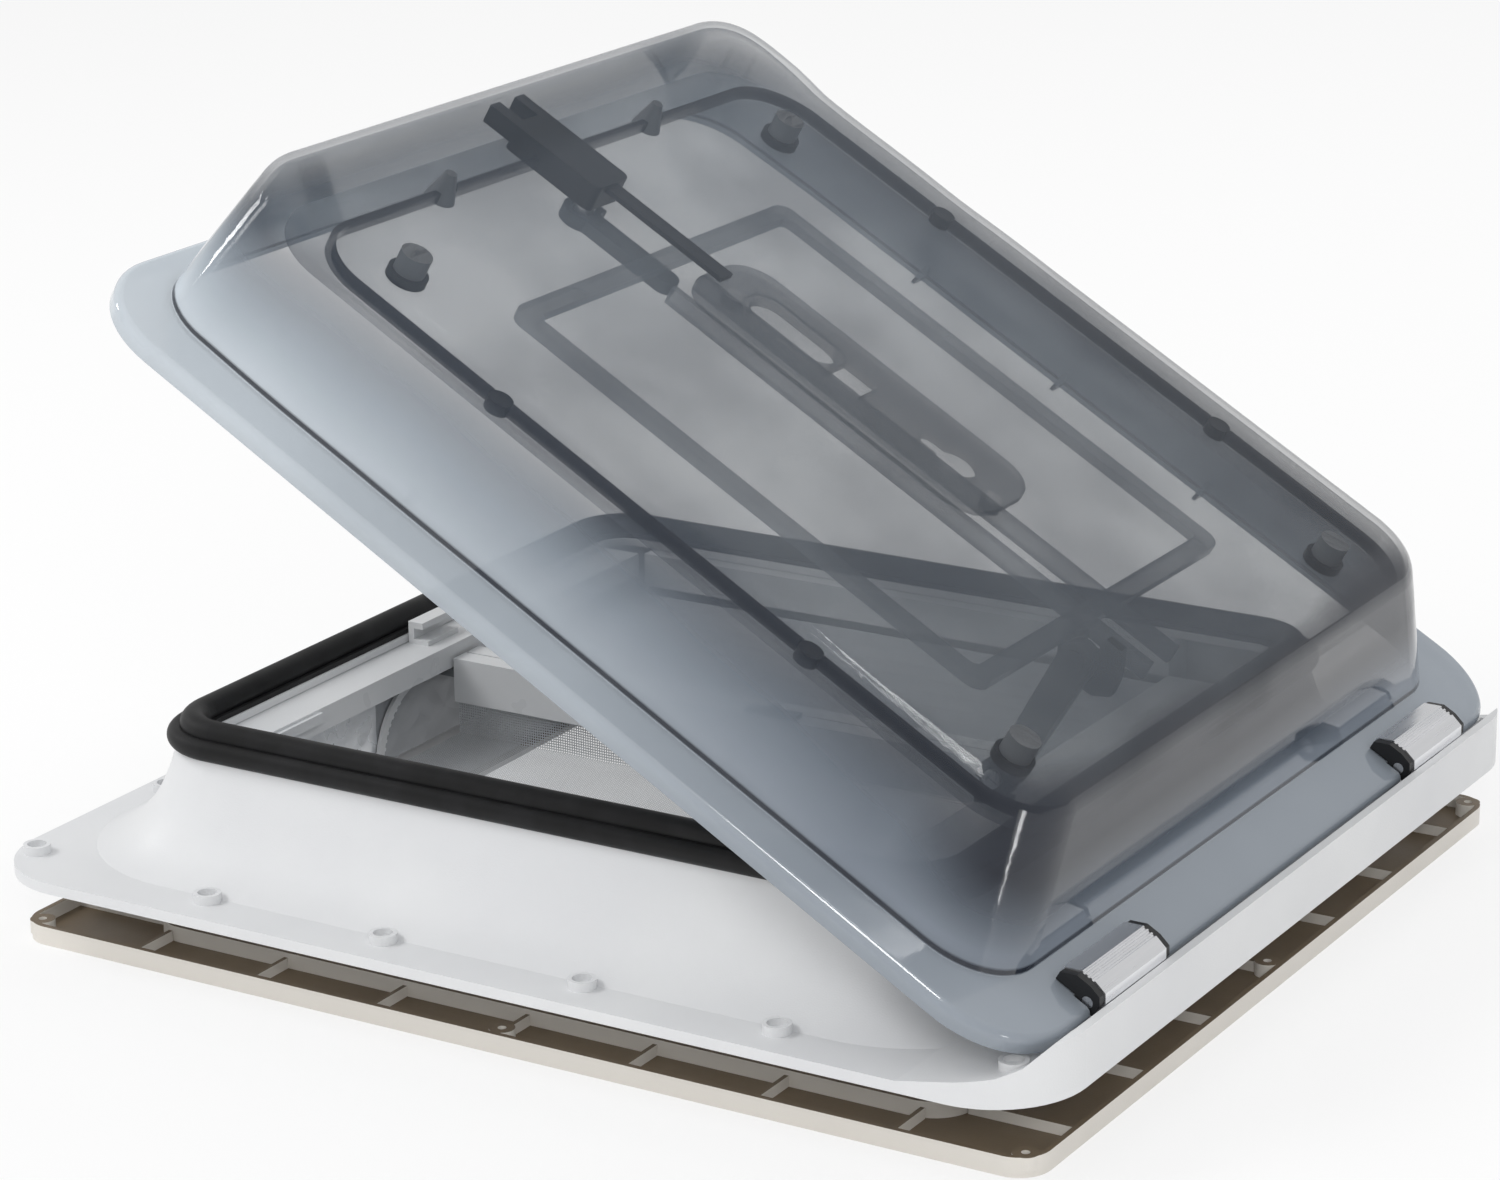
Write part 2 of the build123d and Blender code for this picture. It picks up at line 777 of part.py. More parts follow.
def lid_plan(inset):
    """Plan of the lid with its two corner sizes."""
    width = lid_width - 2 * inset
    length = lid_length - 2 * inset
    plan = Pos(0, lid_y(lid_length / 2)) * Rectangle(width, length)
    hinge_corners = plan.vertices().filter_by(lambda vertex: vertex.Y > 0)
    plan = fillet(hinge_corners, lid_hinge_corner - inset)
    free_y = lid_y(lid_length - inset)
    free_corners = plan.vertices().filter_by(lambda vertex: abs(vertex.Y - free_y) < soft_gap)
    free_corners = [v for v in free_corners if abs(abs(v.X) - width / 2) < soft_gap]
    return fillet(free_corners, lid_free_corner - inset)


def outer_dome():
    """Smoked outer shell with its rounded brim."""
    brim = Pos(0, 0, lid_z(0)) * extrude(lid_plan(0), lid_lip)
    brim = fillet(brim.faces().sort_by(Axis.Z)[-1].edges(), brim_round)
    brim = brim - Pos(0, 0, lid_z(0)) * extrude(lid_plan(lid_wall), plate_low)
    shell = brim + dome_solid(0, plate_low) - dome_solid(lid_wall, plate_low)
    for fin in dome_fins():
        shell = shell + fin
    notch_half = hinge_clip_length / 2 + cap_thick + notch_gap
    for side in (-1, 1):
        x_span = (side * hinge_x - notch_half, side * hinge_x + notch_half)
        shell = shell - lid_block(x_span, (-overrun, clip_start_u), (-overrun, lid_lip + overrun))
        for step in (-1, 1):
            x = side * hinge_x + step * clip_screw_x
            shell = shell - lid_post(x, clip_screw_u, 0, lid_lip + overrun, small_screw_radius + press_gap)
    return shell


def inner_pane():
    """Clear inner pane with a raised rib round it."""
    plate = lid_slab(pane_half, (pane_start_u, pane_end_u), (pane_height, pane_top), pane_corner)
    heights = (pane_top, pane_top + pane_rib_rise)
    rib_half = pane_half - pane_rib_inset
    start_u = pane_start_u + pane_rib_inset
    rib = lid_slab(rib_half, (start_u, pane_rib_end_u), heights, pane_corner - pane_rib_inset)
    core = lid_slab(
        rib_half - pane_rib_thick,
        (start_u + pane_rib_thick, pane_rib_end_u - pane_rib_thick),
        heights,
        pane_corner - pane_rib_inset - pane_rib_thick,
    )
    pane = plate + (rib - core)
    for x, u in plug_places():
        pane = pane - lid_post(x, u, pane_top, pane_top + pane_rib_rise, plug_radius + press_gap)
    for x, u in cone_places():
        pane = pane - lid_post(x, u, pane_top, pane_top + pane_rib_rise, cone_foot_radius + press_gap)
    notch_half = latch_housing_half + soft_gap
    notch_u = (latch_back_u(), pane_end_u)
    pane = pane - lid_block((-notch_half, notch_half), notch_u, (pane_top, pane_top + pane_rib_rise))
    spindle_hole = latch_spindle_radius + running_gap
    return pane - lid_post(0, latch_u, pane_height - overrun, pane_top + overrun, spindle_hole)


def plug_places():
    """Places of the edge plugs as (x, u)."""
    return [(side * plug_x, u) for side in (-1, 1) for u in plug_places_u]


def cone_places():
    """Places of the conical spacers at the free end as (x, u)."""
    return [(side * cone_x, pane_rib_end_u) for side in (-1, 1)]


def corner_places():
    """Places of the corner spacers as (x, u)."""
    return [(side * x, u) for side in (-1, 1) for x, u in spacer_places]


def ring_frame():
    """Rectangular stiffening frame under the pane."""
    heights = (pane_height - ring_height, pane_height)
    outer = lid_slab(ring_half, (ring_start_u, ring_end_u), heights, ring_corner)
    inner_span = (ring_start_u + ring_bar, ring_end_u - ring_bar)
    return outer - lid_slab(ring_half - ring_bar, inner_span, heights, ring_corner / 2)


def centre_rail(side):
    """One of the two rails down the middle of the pane, notched for the frame."""
    middle = side * rail_spacing / 2
    x_span = (middle - rail_thick / 2, middle + rail_thick / 2)
    rail = lid_block(x_span, (rail_start_u, rail_end_u), (pane_height - rail_height, pane_height))
    notch_u = (ring_start_u - soft_gap, ring_start_u + ring_bar + soft_gap)
    return rail - lid_block(x_span, notch_u, (pane_height - ring_height - soft_gap, pane_height))


def guide_plate():
    """Slotted guide plate on two feet above the pane."""
    low = pane_top + guide_lift
    high = low + guide_thick
    plate = lid_slab(guide_width / 2, (guide_start_u, guide_end_u), (low, high), guide_width / 3)
    slot_u = (guide_slot_start_u, guide_slot_end_u)
    slot_half = guide_slot_width / 2
    rim_u = (slot_u[0] - guide_rim, slot_u[1] + guide_rim)
    plate = plate + lid_slab(slot_half + guide_rim, rim_u, (high, high + guide_rim_rise), slot_half)
    cuts = (low - overrun, high + overrun)
    plate = plate - lid_slab(slot_half, slot_u, cuts, slot_half - running_gap)
    window = guide_window / 2
    plate = plate - lid_block((-window, window), (guide_window_u - window, guide_window_u + window), cuts)
    plate = plate - lid_post(0, guide_key_u, cuts[0], cuts[1], guide_key_radius)
    key_end = guide_key_u + 2 * guide_key_radius
    key_half = guide_key_radius / 2
    plate = plate - lid_slab(key_half, (guide_key_u, key_end), cuts, key_half - running_gap)
    for u in (guide_start_u + guide_foot_inset / 2, guide_end_u - guide_foot_inset):
        plate = plate + lid_post(0, u, pane_top, low, guide_foot_radius)
    return plate


def latch_back_u():
    """Hinge-side end of the latch housing."""
    return latch_u - latch_housing_back


def release_strap():
    """Black band from the latch housing to the guide plate."""
    low = pane_top + guide_lift + guide_thick
    start_u = guide_end_u - guide_foot_inset / 2
    return lid_block((-strap_width / 2, strap_width / 2), (start_u, latch_back_u()), (low, low + strap_thick))


def latch_housing():
    """Black housing with two prongs that carries the latch spindle above the pane."""
    top = pane_top + latch_housing_height
    end_u = latch_u + latch_housing_reach
    body = lid_slab(latch_housing_half, (latch_back_u(), end_u), (pane_top, top), latch_housing_back / 2)
    for side in (-1, 1):
        inner = side * (latch_housing_half - latch_prong_thick)
        x_span = tuple(sorted((inner, side * latch_housing_half)))
        u_span = (end_u - latch_housing_back, end_u + latch_prong_reach)
        body = body + lid_block(x_span, u_span, (pane_top + latch_prong_thick / 2, top))
    return body - lid_post(0, latch_u, pane_top, latch_spindle_top, latch_spindle_radius + running_gap)


def latch_spindle():
    """Steel spindle through the pane."""
    return lid_post(0, latch_u, latch_low + latch_lever_thick, latch_spindle_top - soft_gap, latch_spindle_radius)


def latch_lever():
    """Turning lever under the pane: its handle lies along the lid, its tongue across it."""
    high = latch_low + latch_lever_thick
    hub = lid_post(0, latch_u, latch_low, high, latch_hub_radius)
    handle_half = latch_lever_width / 2
    handle_u = latch_u - latch_lever_reach + handle_half
    handle = lid_block((-handle_half, handle_half), (handle_u, latch_u), (latch_low, high))
    handle = handle + lid_post(0, handle_u, latch_low, high, handle_half)
    tongue_half = latch_tongue_width / 2
    tongue_u = (latch_u - tongue_half, latch_u + tongue_half)
    tongue = lid_block((-latch_tongue_reach, 0), tongue_u, (latch_low, latch_low + latch_tongue_thick))
    return hub + handle + tongue


def latch_keeper():
    """Hook on the free-side rail that the tongue turns under."""
    back = lid_y(latch_u) - latch_tongue_reach - soft_gap * 2
    cover_low = lid_z(latch_low + latch_tongue_thick) + keeper_clearance
    cover_high = cover_low + keeper_wall
    x_span = (-keeper_width / 2, keeper_width / 2)
    wall = block(x_span, (back - keeper_wall, back), (rail_top, cover_high))
    cover = block(x_span, (back - keeper_wall, back - keeper_wall + keeper_cover), (cover_low, cover_high))
    foot = block(x_span, (back - keeper_wall, back + keeper_cover), (rail_top, rail_top + keeper_foot))
    return wall + cover + foot


def clip_outline():
    """Outer (u, h) outline of a hinge clip."""
    nose = hinge_u - clip_shell
    points = [
        (clip_reach_u, lid_lip),
        (clip_reach_u, lid_lip + clip_toe),
        (clip_reach_u - clip_slope, clip_height),
        (hinge_u + clip_toe / 2, clip_height),
        (nose + clip_toe / 2, clip_height - clip_toe / 3),
        (nose, hinge_h + clip_toe / 2),
        (nose, plate_low),
        (clip_start_u, plate_low),
        (clip_start_u, lid_lip),
    ]
    return lid_outline(points)


def hinge_clip(side):
    """Fluted aluminium clip that wraps the hinge pin and holds the lid's edge."""
    x_span = (side * hinge_x - hinge_clip_length / 2, side * hinge_x + hinge_clip_length / 2)
    bore = Pos(hinge_y, hinge_z) * Circle(clip_bore)
    drop = clip_height
    mouth = lid_outline(
        [
            (hinge_u, hinge_h),
            (hinge_u + drop * tan(radians(clip_mouth_closed)), hinge_h - drop),
            (hinge_u - drop * tan(radians(clip_mouth_open)), hinge_h - drop),
        ]
    )
    clip = along_x(clip_outline() - bore - mouth, x_span)
    for count in range(clip_flutes):
        flute_u = hinge_u + clip_toe / 2 + (count + 0.5) * clip_flute_pitch
        clip = clip - along_x(Pos(lid_y(flute_u), lid_z(clip_height)) * Circle(clip_flute), x_span)
    for step in (-1, 1):
        x = side * hinge_x + step * clip_screw_x
        clip = clip - lid_post(x, clip_screw_u, plate_low, clip_screw_top + soft_gap, small_screw_radius + press_gap)
    return clip


def hinge_end_caps():
    """Black caps on the clips' ends, with the pin's bearing bores."""
    outline = offset(clip_outline(), -cap_inset) - Pos(hinge_y, hinge_z) * Circle(pin_radius + running_gap)
    caps = []
    for side in (-1, 1):
        for step in (-1, 1):
            inner = side * hinge_x + step * hinge_clip_length / 2
            caps.append(along_x(outline, tuple(sorted((inner, inner + step * cap_thick)))))
    return group(caps)


def hinge_pin(side):
    """Steel pin through the bracket and both end caps."""
    half = hinge_clip_length / 2 + cap_thick - notch_gap
    return along_x(Pos(hinge_y, hinge_z) * Circle(pin_radius), (side * hinge_x - half, side * hinge_x + half))


def hinge_bracket(side):
    """Aluminium bracket on the channel floor with the middle knuckle."""
    foot_x = (side * hinge_x - bracket_length / 2, side * hinge_x + bracket_length / 2)
    foot_y = (channel_y + soft_gap, rim_inner_y - soft_gap)
    bracket = block(foot_x, foot_y, (channel_floor, channel_floor + bracket_foot_thick))
    knuckle_x = (side * hinge_x - knuckle_length / 2, side * hinge_x + knuckle_length / 2)
    neck_y = (hinge_y - bracket_neck / 2, hinge_y + bracket_neck / 2)
    bracket = bracket + block(knuckle_x, neck_y, (channel_floor, hinge_z))
    bracket = bracket + along_x(Pos(hinge_y, hinge_z) * Circle(knuckle_radius), knuckle_x)
    bracket = bracket - along_x(Pos(hinge_y, hinge_z) * Circle(pin_radius + press_gap), knuckle_x)
    for x, y in bracket_screw_places(side):
        hole = post(x, y, channel_floor - overrun, hinge_z, small_screw_radius + press_gap)
        bracket = bracket - hole
    return bracket


def bracket_screw_places(side):
    """Places of one bracket's screws."""
    y = (channel_y + rim_inner_y) / 2
    return [(side * hinge_x + step * bracket_screw_x, y) for step in (-1, 1)]


def bracket_screws():
    """Screws of both brackets."""
    screws = []
    seat = channel_floor + bracket_foot_thick
    for side in (-1, 1):
        for x, y in bracket_screw_places(side):
            head = post(x, y, seat, seat + small_head_height, small_head_radius)
            screws.append(head + post(x, y, seat - small_screw_length, seat, small_screw_radius))
    return group(screws)


def clip_screws():
    """Screws from below through the lid's flange into the clips."""
    screws = []
    for side in (-1, 1):
        for step in (-1, 1):
            x = side * hinge_x + step * clip_screw_x
            head = lid_post(x, clip_screw_u, plate_low - small_head_height, plate_low, small_head_radius)
            screws.append(head + lid_post(x, clip_screw_u, plate_low, clip_screw_top, small_screw_radius))
    return group(screws)


def pane_spacers():
    """Posts that hold the two panes apart: four at the corners and two cones at the free end."""
    ceiling = dome_height - lid_wall
    posts = [lid_post(x, u, pane_top, ceiling, spacer_radius) for x, u in corner_places()]
    low, high = lid_z(pane_top), lid_z(ceiling)
    for x, u in cone_places():
        foot = Pos(x, lid_y(u), low) * Circle(cone_foot_radius)
        head = Pos(x, lid_y(u), high) * Circle(cone_head_radius)
        posts.append(loft([foot, head], ruled=True))
    return group(posts)


def spacer_collars():
    """Rubber collars round the spacers' feet."""
    collars = []
    for x, u in corner_places():
        collar = lid_post(x, u, pane_top, pane_top + spacer_cap_height, spacer_cap_radius)
        collars.append(collar - lid_post(x, u, pane_top, pane_top + spacer_cap_height, spacer_radius + press_gap))
    return group(collars)


def edge_plugs():
    """Black plugs on the pane's long edges."""
    return group([lid_post(x, u, pane_top, pane_top + plug_height, plug_radius) for x, u in plug_places()])


def stay_points(shares):
    """Lid (u, h) points from shares of the stay's unit about its pivot."""
    return [(stay_pivot_u + stay_unit * across, stay_pivot_h + stay_unit * up) for across, up in shares]


def stay_bracket():
    """Fixed fork under the pane: one prong reaches the pane, one the stiffening frame."""
    pane_rise = (pane_height - stay_pivot_h) / stay_unit
    ring_rise = pane_rise - ring_height / stay_unit
    shares = []
    for across, reach in stay_fork_shares:
        tip = pane_rise if across < 0 else ring_rise
        shares.append((across, tip if reach else stay_crotch_share))
    shares += stay_web_shares
    plate = along_x(lid_outline(stay_points(shares)), (stay_start_x - stay_bracket_thick, stay_start_x))
    centre = Pos(lid_y(stay_pivot_u), lid_z(stay_pivot_h))
    end_x = stay_start_x + soft_gap + stay_thick + soft_gap
    pin = along_x(centre * Circle(stay_pin_radius), (stay_start_x - stay_bracket_thick / 2, end_x + stay_pin_head))
    head = along_x(centre * Circle(stay_pin_head_radius), (end_x, end_x + stay_pin_head))
    return plate + pin + head


def stay_span():
    """Where the stay arm lies across the lid."""
    low = stay_start_x + soft_gap
    return (low, low + stay_thick)


def stay_tip_place():
    """Lid (u, h) of the stay arm's tip, a gap above the shoe's sole in the open pose."""
    u = stay_pivot_u + stay_lean - stay_tip_shift
    rise = housing_top + shoe_sole + stay_foot_gap + stay_tip_radius - hinge_z
    swing = (u - hinge_u) * sin(radians(open_angle))
    return (u, hinge_h + (rise - swing) / cos(radians(open_angle)))


def stay_boss_place():
    """Lid (u, h) of the knob on the stay arm."""
    return (stay_pivot_u + stay_lean, stay_tip_place()[1] + stay_tip)


def stay_arm():
    """Black arm that swings down from the bracket and stands on the frame's shoe."""
    boss_u, boss_h = stay_boss_place()
    tip_u, tip_h = stay_tip_place()
    head = Pos(lid_y(stay_pivot_u), lid_z(stay_pivot_h)) * Circle(stay_head_radius)
    boss = Pos(lid_y(boss_u), lid_z(boss_h)) * Circle(stay_boss_radius)
    tip = Pos(lid_y(tip_u), lid_z(tip_h)) * Circle(stay_tip_radius)
    shank = lid_outline(
        [
            (stay_pivot_u - stay_head_radius, stay_pivot_h),
            (stay_pivot_u + stay_head_radius, stay_pivot_h),
            (boss_u + stay_half, boss_h),
            (tip_u + stay_tip_radius, tip_h),
            (tip_u - stay_tip_radius, tip_h),
            (boss_u - stay_half, boss_h),
        ]
    )
    bore = Pos(lid_y(stay_pivot_u), lid_z(stay_pivot_h)) * Circle(stay_pin_radius + running_gap)
    screw_hole = Pos(lid_y(boss_u), lid_z(boss_h)) * Circle(knob_screw_radius + running_gap)
    return along_x(head + boss + tip + shank - bore - screw_hole, stay_span())


def stay_knob():
    """Round hand knob with grips on the stay arm."""
    boss_u, boss_h = stay_boss_place()
    centre = Pos(lid_y(boss_u), lid_z(boss_h))
    outline = centre * Circle(knob_radius)
    for count in range(knob_grips):
        outline = outline - centre * Rot(0, 0, 360 * count / knob_grips) * Pos(knob_radius, 0) * Circle(knob_grip_radius)
    outline = outline - centre * Circle(knob_screw_radius + press_gap)
    low = stay_span()[1] + soft_gap
    return along_x(outline, (low, low + knob_height))


def knob_screw():
    """Bright screw through knob and arm."""
    boss_u, boss_h = stay_boss_place()
    centre = Pos(lid_y(boss_u), lid_z(boss_h))
    low, high = stay_span()
    seat = high + soft_gap + knob_height
    shank = along_x(centre * Circle(knob_screw_radius), (low, seat))
    head = along_x(centre * Circle(knob_head_radius), (seat, seat + knob_head_height))
    slot = block(
        (seat + knob_head_height / 2, seat + knob_head_height),
        (lid_y(boss_u) - knob_head_radius, lid_y(boss_u) + knob_head_radius),
        (lid_z(boss_h) - knob_head_height / 4, lid_z(boss_h) + knob_head_height / 4),
    )
    return shank + head - slot


def stay_shoe():
    """Black saddle on the hinge-side housing beside the arm's tip."""
    low, high = stay_span()
    cheek_x = (high + soft_gap, high + soft_gap + shoe_cheek)
    y_span = (housing_front_y + soft_gap, housing_front_y + stay_shoe_length)
    cheek = block(cheek_x, y_span, (housing_top, housing_top + stay_shoe_height))
    sole_y = (housing_front_y + shoe_sole_setback, y_span[1])
    sole = block((low, cheek_x[1]), sole_y, (housing_top, housing_top + shoe_sole))
    return cheek + sole


def shade_rail_free():
    """White rail along the free side: top plate, face, tabs and a clip step."""
    back = -(curb_free_y - curb_wall) + rail_back_gap
    front = -rail_front_y
    rail = block((-rail_half, rail_half), (back, front), (rail_top - rail_skin, rail_top))
    face = block((-rail_half, rail_half), (front - rail_skin, front), (rail_top - rail_face_drop, rail_top))
    rail = rail + face
    step_z = (bar_top + soft_gap, rail_top - rail_step / 2)
    rail = rail + block((rail_step_x, cassette_face - rail_step), (front, front + rail_step), step_z)
    for x in rail_tab_places:
        tab_y = (-lining_y - lining_thick - rail_tab_thick, -lining_y - lining_thick)
        tab_z = (lining_top - rail_tab_lap, rail_top)
        rail = rail + block((x - rail_tab_width / 2, x + rail_tab_width / 2), tab_y, tab_z)
    return rail


def housing_back_y():
    """Inner face of the curb on the hinge side at the housing's top."""
    start = spigot_inner / 2
    end = curb_hinge_y - curb_wall
    return start + (end - start) * (housing_top - flange_thick) / (lip_underside - flange_thick)


def shade_rail_hinge():
    """White housing along the hinge side with a channel for the bars' shoes."""
    top_y = (housing_front_y, housing_back_y() - soft_gap)
    housing = block((-rail_half, rail_half), top_y, (housing_top - rail_skin, housing_top))
    lip_z = (housing_top - housing_lip, housing_top)
    housing = housing + block((-rail_half, rail_half), (housing_front_y, housing_front_y + rail_skin), lip_z)
    web_y = housing_front_y + rail_skin + 2 * bar_gap + shoe_length
    web = block((-rail_half, rail_half), (web_y, web_y + rail_skin), (housing_bottom, housing_top))
    floor = block((-rail_half, rail_half), (web_y, top_y[1]), (housing_bottom, housing_bottom + rail_skin))
    return housing + web + floor


def cassette(side, slot_level):
    """White cassette along one side; the shade leaves it through a slot."""
    y_span = (-rail_front_y + 2 * soft_gap + rail_step, housing_front_y - soft_gap)
    outer_x = (cassette_face, cassette_face + cassette_width)
    shell = block(outer_x, y_span, (cassette_bottom, rail_top))
    wall = cassette_wall
    room_x = (outer_x[0] + wall, outer_x[1] - wall)
    shell = shell - block(room_x, (y_span[0] + wall, y_span[1] - wall), (cassette_bottom + wall, rail_top - wall))
    slot_z = (slot_level - cassette_gap, slot_level + cassette_slot)
    shell = shell - block((outer_x[0] - wall, outer_x[0] + wall), (y_span[0] + wall, y_span[1] - wall), slot_z)
    return shell if side > 0 else shell.mirror(Plane.YZ)


def bar_profile(side):
    """Channel section of a pull bar; its web faces the shade."""
    middle = bar_meet_x + side * (bar_parting / 2 + bar_width / 2)
    half = bar_width / 2
    web_x = middle + side * (half - bar_web / 2)
    tall = bar_top - bar_bottom
    web = Pos(web_x, bar_bottom + tall / 2) * Rectangle(bar_web, tall)
    top = Pos(middle, bar_top - bar_lip / 2) * Rectangle(bar_width, bar_lip)
    bottom = Pos(middle, bar_bottom + bar_lip / 2) * Rectangle(bar_width, bar_lip)
    return middle, web + top + bottom


def pull_bar(side):
    """White bar across the opening that draws a shade."""
    middle, profile = bar_profile(side)
    return along_y(profile, (bar_free_y, bar_hinge_y))


def bar_shoes(side):
    """Sliding shoes at both ends of a bar, each hooked up behind a rail's lip."""
    middle, profile = bar_profile(side)
    x_span = (middle - shoe_width / 2, middle + shoe_width / 2)
    free_y = -rail_front_y - rail_skin - bar_gap
    free_low = rail_top - rail_face_drop - bar_gap - shoe_neck
    free = block(x_span, (free_y - shoe_length, free_y), (free_low, rail_top - rail_skin - bar_gap))
    free = free + block(x_span, (free_y, bar_free_y), (free_low, free_low + shoe_neck))
    hinge_y_low = housing_front_y + rail_skin + bar_gap
    neck_top = housing_top - housing_lip - bar_gap
    neck_z = (neck_top - shoe_neck, neck_top)
    hinge = block(x_span, (hinge_y_low, hinge_y_low + shoe_length), (neck_z[0], housing_top - rail_skin - bar_gap))
    hinge = hinge + block(x_span, (bar_hinge_y, hinge_y_low), neck_z)
    return group([free, hinge])


def bar_catch():
    """Small sliding catch on top of the screen's bar."""
    middle, profile = bar_profile(1)
    low = bar_top + running_gap
    x_span = (middle - catch_width / 2, middle + catch_width / 2)
    plate = block(x_span, (-catch_length / 2, catch_length / 2), (low, low + catch_height / 2))
    grip = block(x_span, (-catch_height / 2, catch_height / 2), (low, low + catch_height))
    return plate + grip


def pleated_sheet(start_x, end_x, pleats_from, pleats, level, thick, rise):
    """(x, z) outline of a sheet that is flat and then runs in pleats."""
    pitch = (end_x - pleats_from) / pleats
    tops = [(start_x, level), (pleats_from, level)] if pleats_from != start_x else [(start_x, level)]
    for count in range(pleats):
        tops.append((pleats_from + pitch * (count + 0.5), level + rise))
        tops.append((pleats_from + pitch * (count + 1), level))
    return polygon(tops + [(x, z + thick) for x, z in reversed(tops)])


def fly_screen():
    """Fly screen: down from its bar, level towards the near cassette, pleated at the end."""
    middle, profile = bar_profile(1)
    start_x = middle + bar_width / 2 - bar_web
    end_x = cassette_face - soft_gap
    pleats_from = end_x - screen_pleats * screen_pleat
    floor = pleated_sheet(start_x, end_x, pleats_from, screen_pleats, screen_floor, screen_thick, screen_pleat_rise)
    tall = bar_bottom - soft_gap - screen_floor
    wall = Pos(start_x + screen_thick / 2, screen_floor + tall / 2) * Rectangle(screen_thick, tall)
    return along_y(floor + wall, (bar_free_y + soft_gap, bar_hinge_y - soft_gap))


def blackout_blind():
    """Pleated blackout blind between the far cassette and its bar."""
    middle, profile = bar_profile(-1)
    start_x = middle - bar_width / 2 - soft_gap
    end_x = -cassette_face + soft_gap
    sheet = pleated_sheet(start_x, end_x, start_x, blind_pleats, blind_level, blind_thick, blind_pleat_rise)
    return along_y(sheet, (bar_free_y + soft_gap, bar_hinge_y - soft_gap))


def lining(x_span):
    """Thin lining panel under the free-side rail."""
    return block(x_span, (-lining_y - lining_thick, -lining_y), (lining_bottom, lining_top))


def lining_edge():
    """White toothed edge strip that curves up the lining."""
    centre = Pos(lining_split_x - edge_radius, lining_bottom)
    outer = centre * Circle(edge_radius + edge_width / 2)
    ring = outer - centre * Circle(edge_radius - edge_width / 2)
    window = Pos(lining_split_x - edge_radius / 2, (lining_bottom + lining_top) / 2)
    strip = ring & window * Rectangle(edge_radius + 2 * edge_width, lining_top - lining_bottom)
    for count in range(1, edge_teeth):
        turn = Rot(0, 0, edge_sweep * count / edge_teeth)
        strip = strip + centre * turn * Pos(edge_radius - edge_width / 2, 0) * Rectangle(edge_tooth, edge_tooth)
    strip = strip.faces().sort_by(SortBy.AREA)[-1]
    return along_y(strip, (-lining_y, -lining_y + edge_thick))


split = lining_split_x
lining_end = cassette_face - rail_step

frame_parts = {
    "outer_frame": outer_frame(),
    "lid_seal": lid_seal(),
    "ceiling_trim": ceiling_trim(),
    "trim_screws": trim_screws(),
    "shade_rail_free": shade_rail_free(),
    "shade_rail_hinge": shade_rail_hinge(),
    "cassette_near": cassette(1, screen_floor),
    "cassette_far": cassette(-1, blind_level),
    "fly_screen": fly_screen(),
    "blackout_blind": blackout_blind(),
    "lining_foil": lining((split, lining_end)),
    "lining_panel": lining((-lining_end, split)),
    "lining_edge": lining_edge(),
    "hinge_bracket_left": hinge_bracket(-1),
    "hinge_bracket_right": hinge_bracket(1),
    "hinge_pin_left": hinge_pin(-1),
    "hinge_pin_right": hinge_pin(1),
    "bracket_screws": bracket_screws(),
    "stay_shoe": stay_shoe(),
    "latch_keeper": latch_keeper(),
    "screen_pull_bar": pull_bar(1),
    "screen_bar_shoes": bar_shoes(1),
    "blind_pull_bar": pull_bar(-1),
    "blind_bar_shoes": bar_shoes(-1),
    "bar_catch": bar_catch(),
}

lid_parts = {
    "outer_dome": outer_dome(),
    "inner_pane": inner_pane(),
    "ring_frame": ring_frame(),
    "centre_rail_left": centre_rail(-1),
    "centre_rail_right": centre_rail(1),
    "guide_plate": guide_plate(),
    "release_strap": release_strap(),
    "latch_housing": latch_housing(),
    "latch_spindle": latch_spindle(),
    "latch_lever": latch_lever(),
    "hinge_clip_left": hinge_clip(-1),
    "hinge_clip_right": hinge_clip(1),
    "hinge_end_caps": hinge_end_caps(),
    "clip_screws": clip_screws(),
    "pane_spacers": pane_spacers(),
    "spacer_collars": spacer_collars(),
    "edge_plugs": edge_plugs(),
    "stay_bracket": stay_bracket(),
    "stay_arm": stay_arm(),
    "stay_knob": stay_knob(),
    "knob_screw": knob_screw(),
}

os.makedirs("parts", exist_ok=True)
for name, shape in frame_parts.items():
    export_step(shape, f"parts/{name}.step")
for name, shape in lid_parts.items():
    export_step(opened(shape), f"parts/{name}.step")
print(len(frame_parts) + len(lid_parts), "nodes written")
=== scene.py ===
"""Looks of the roof vent: materials, cloth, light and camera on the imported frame."""
import math

import bmesh
import bpy
from mathutils import Matrix, Vector, noise


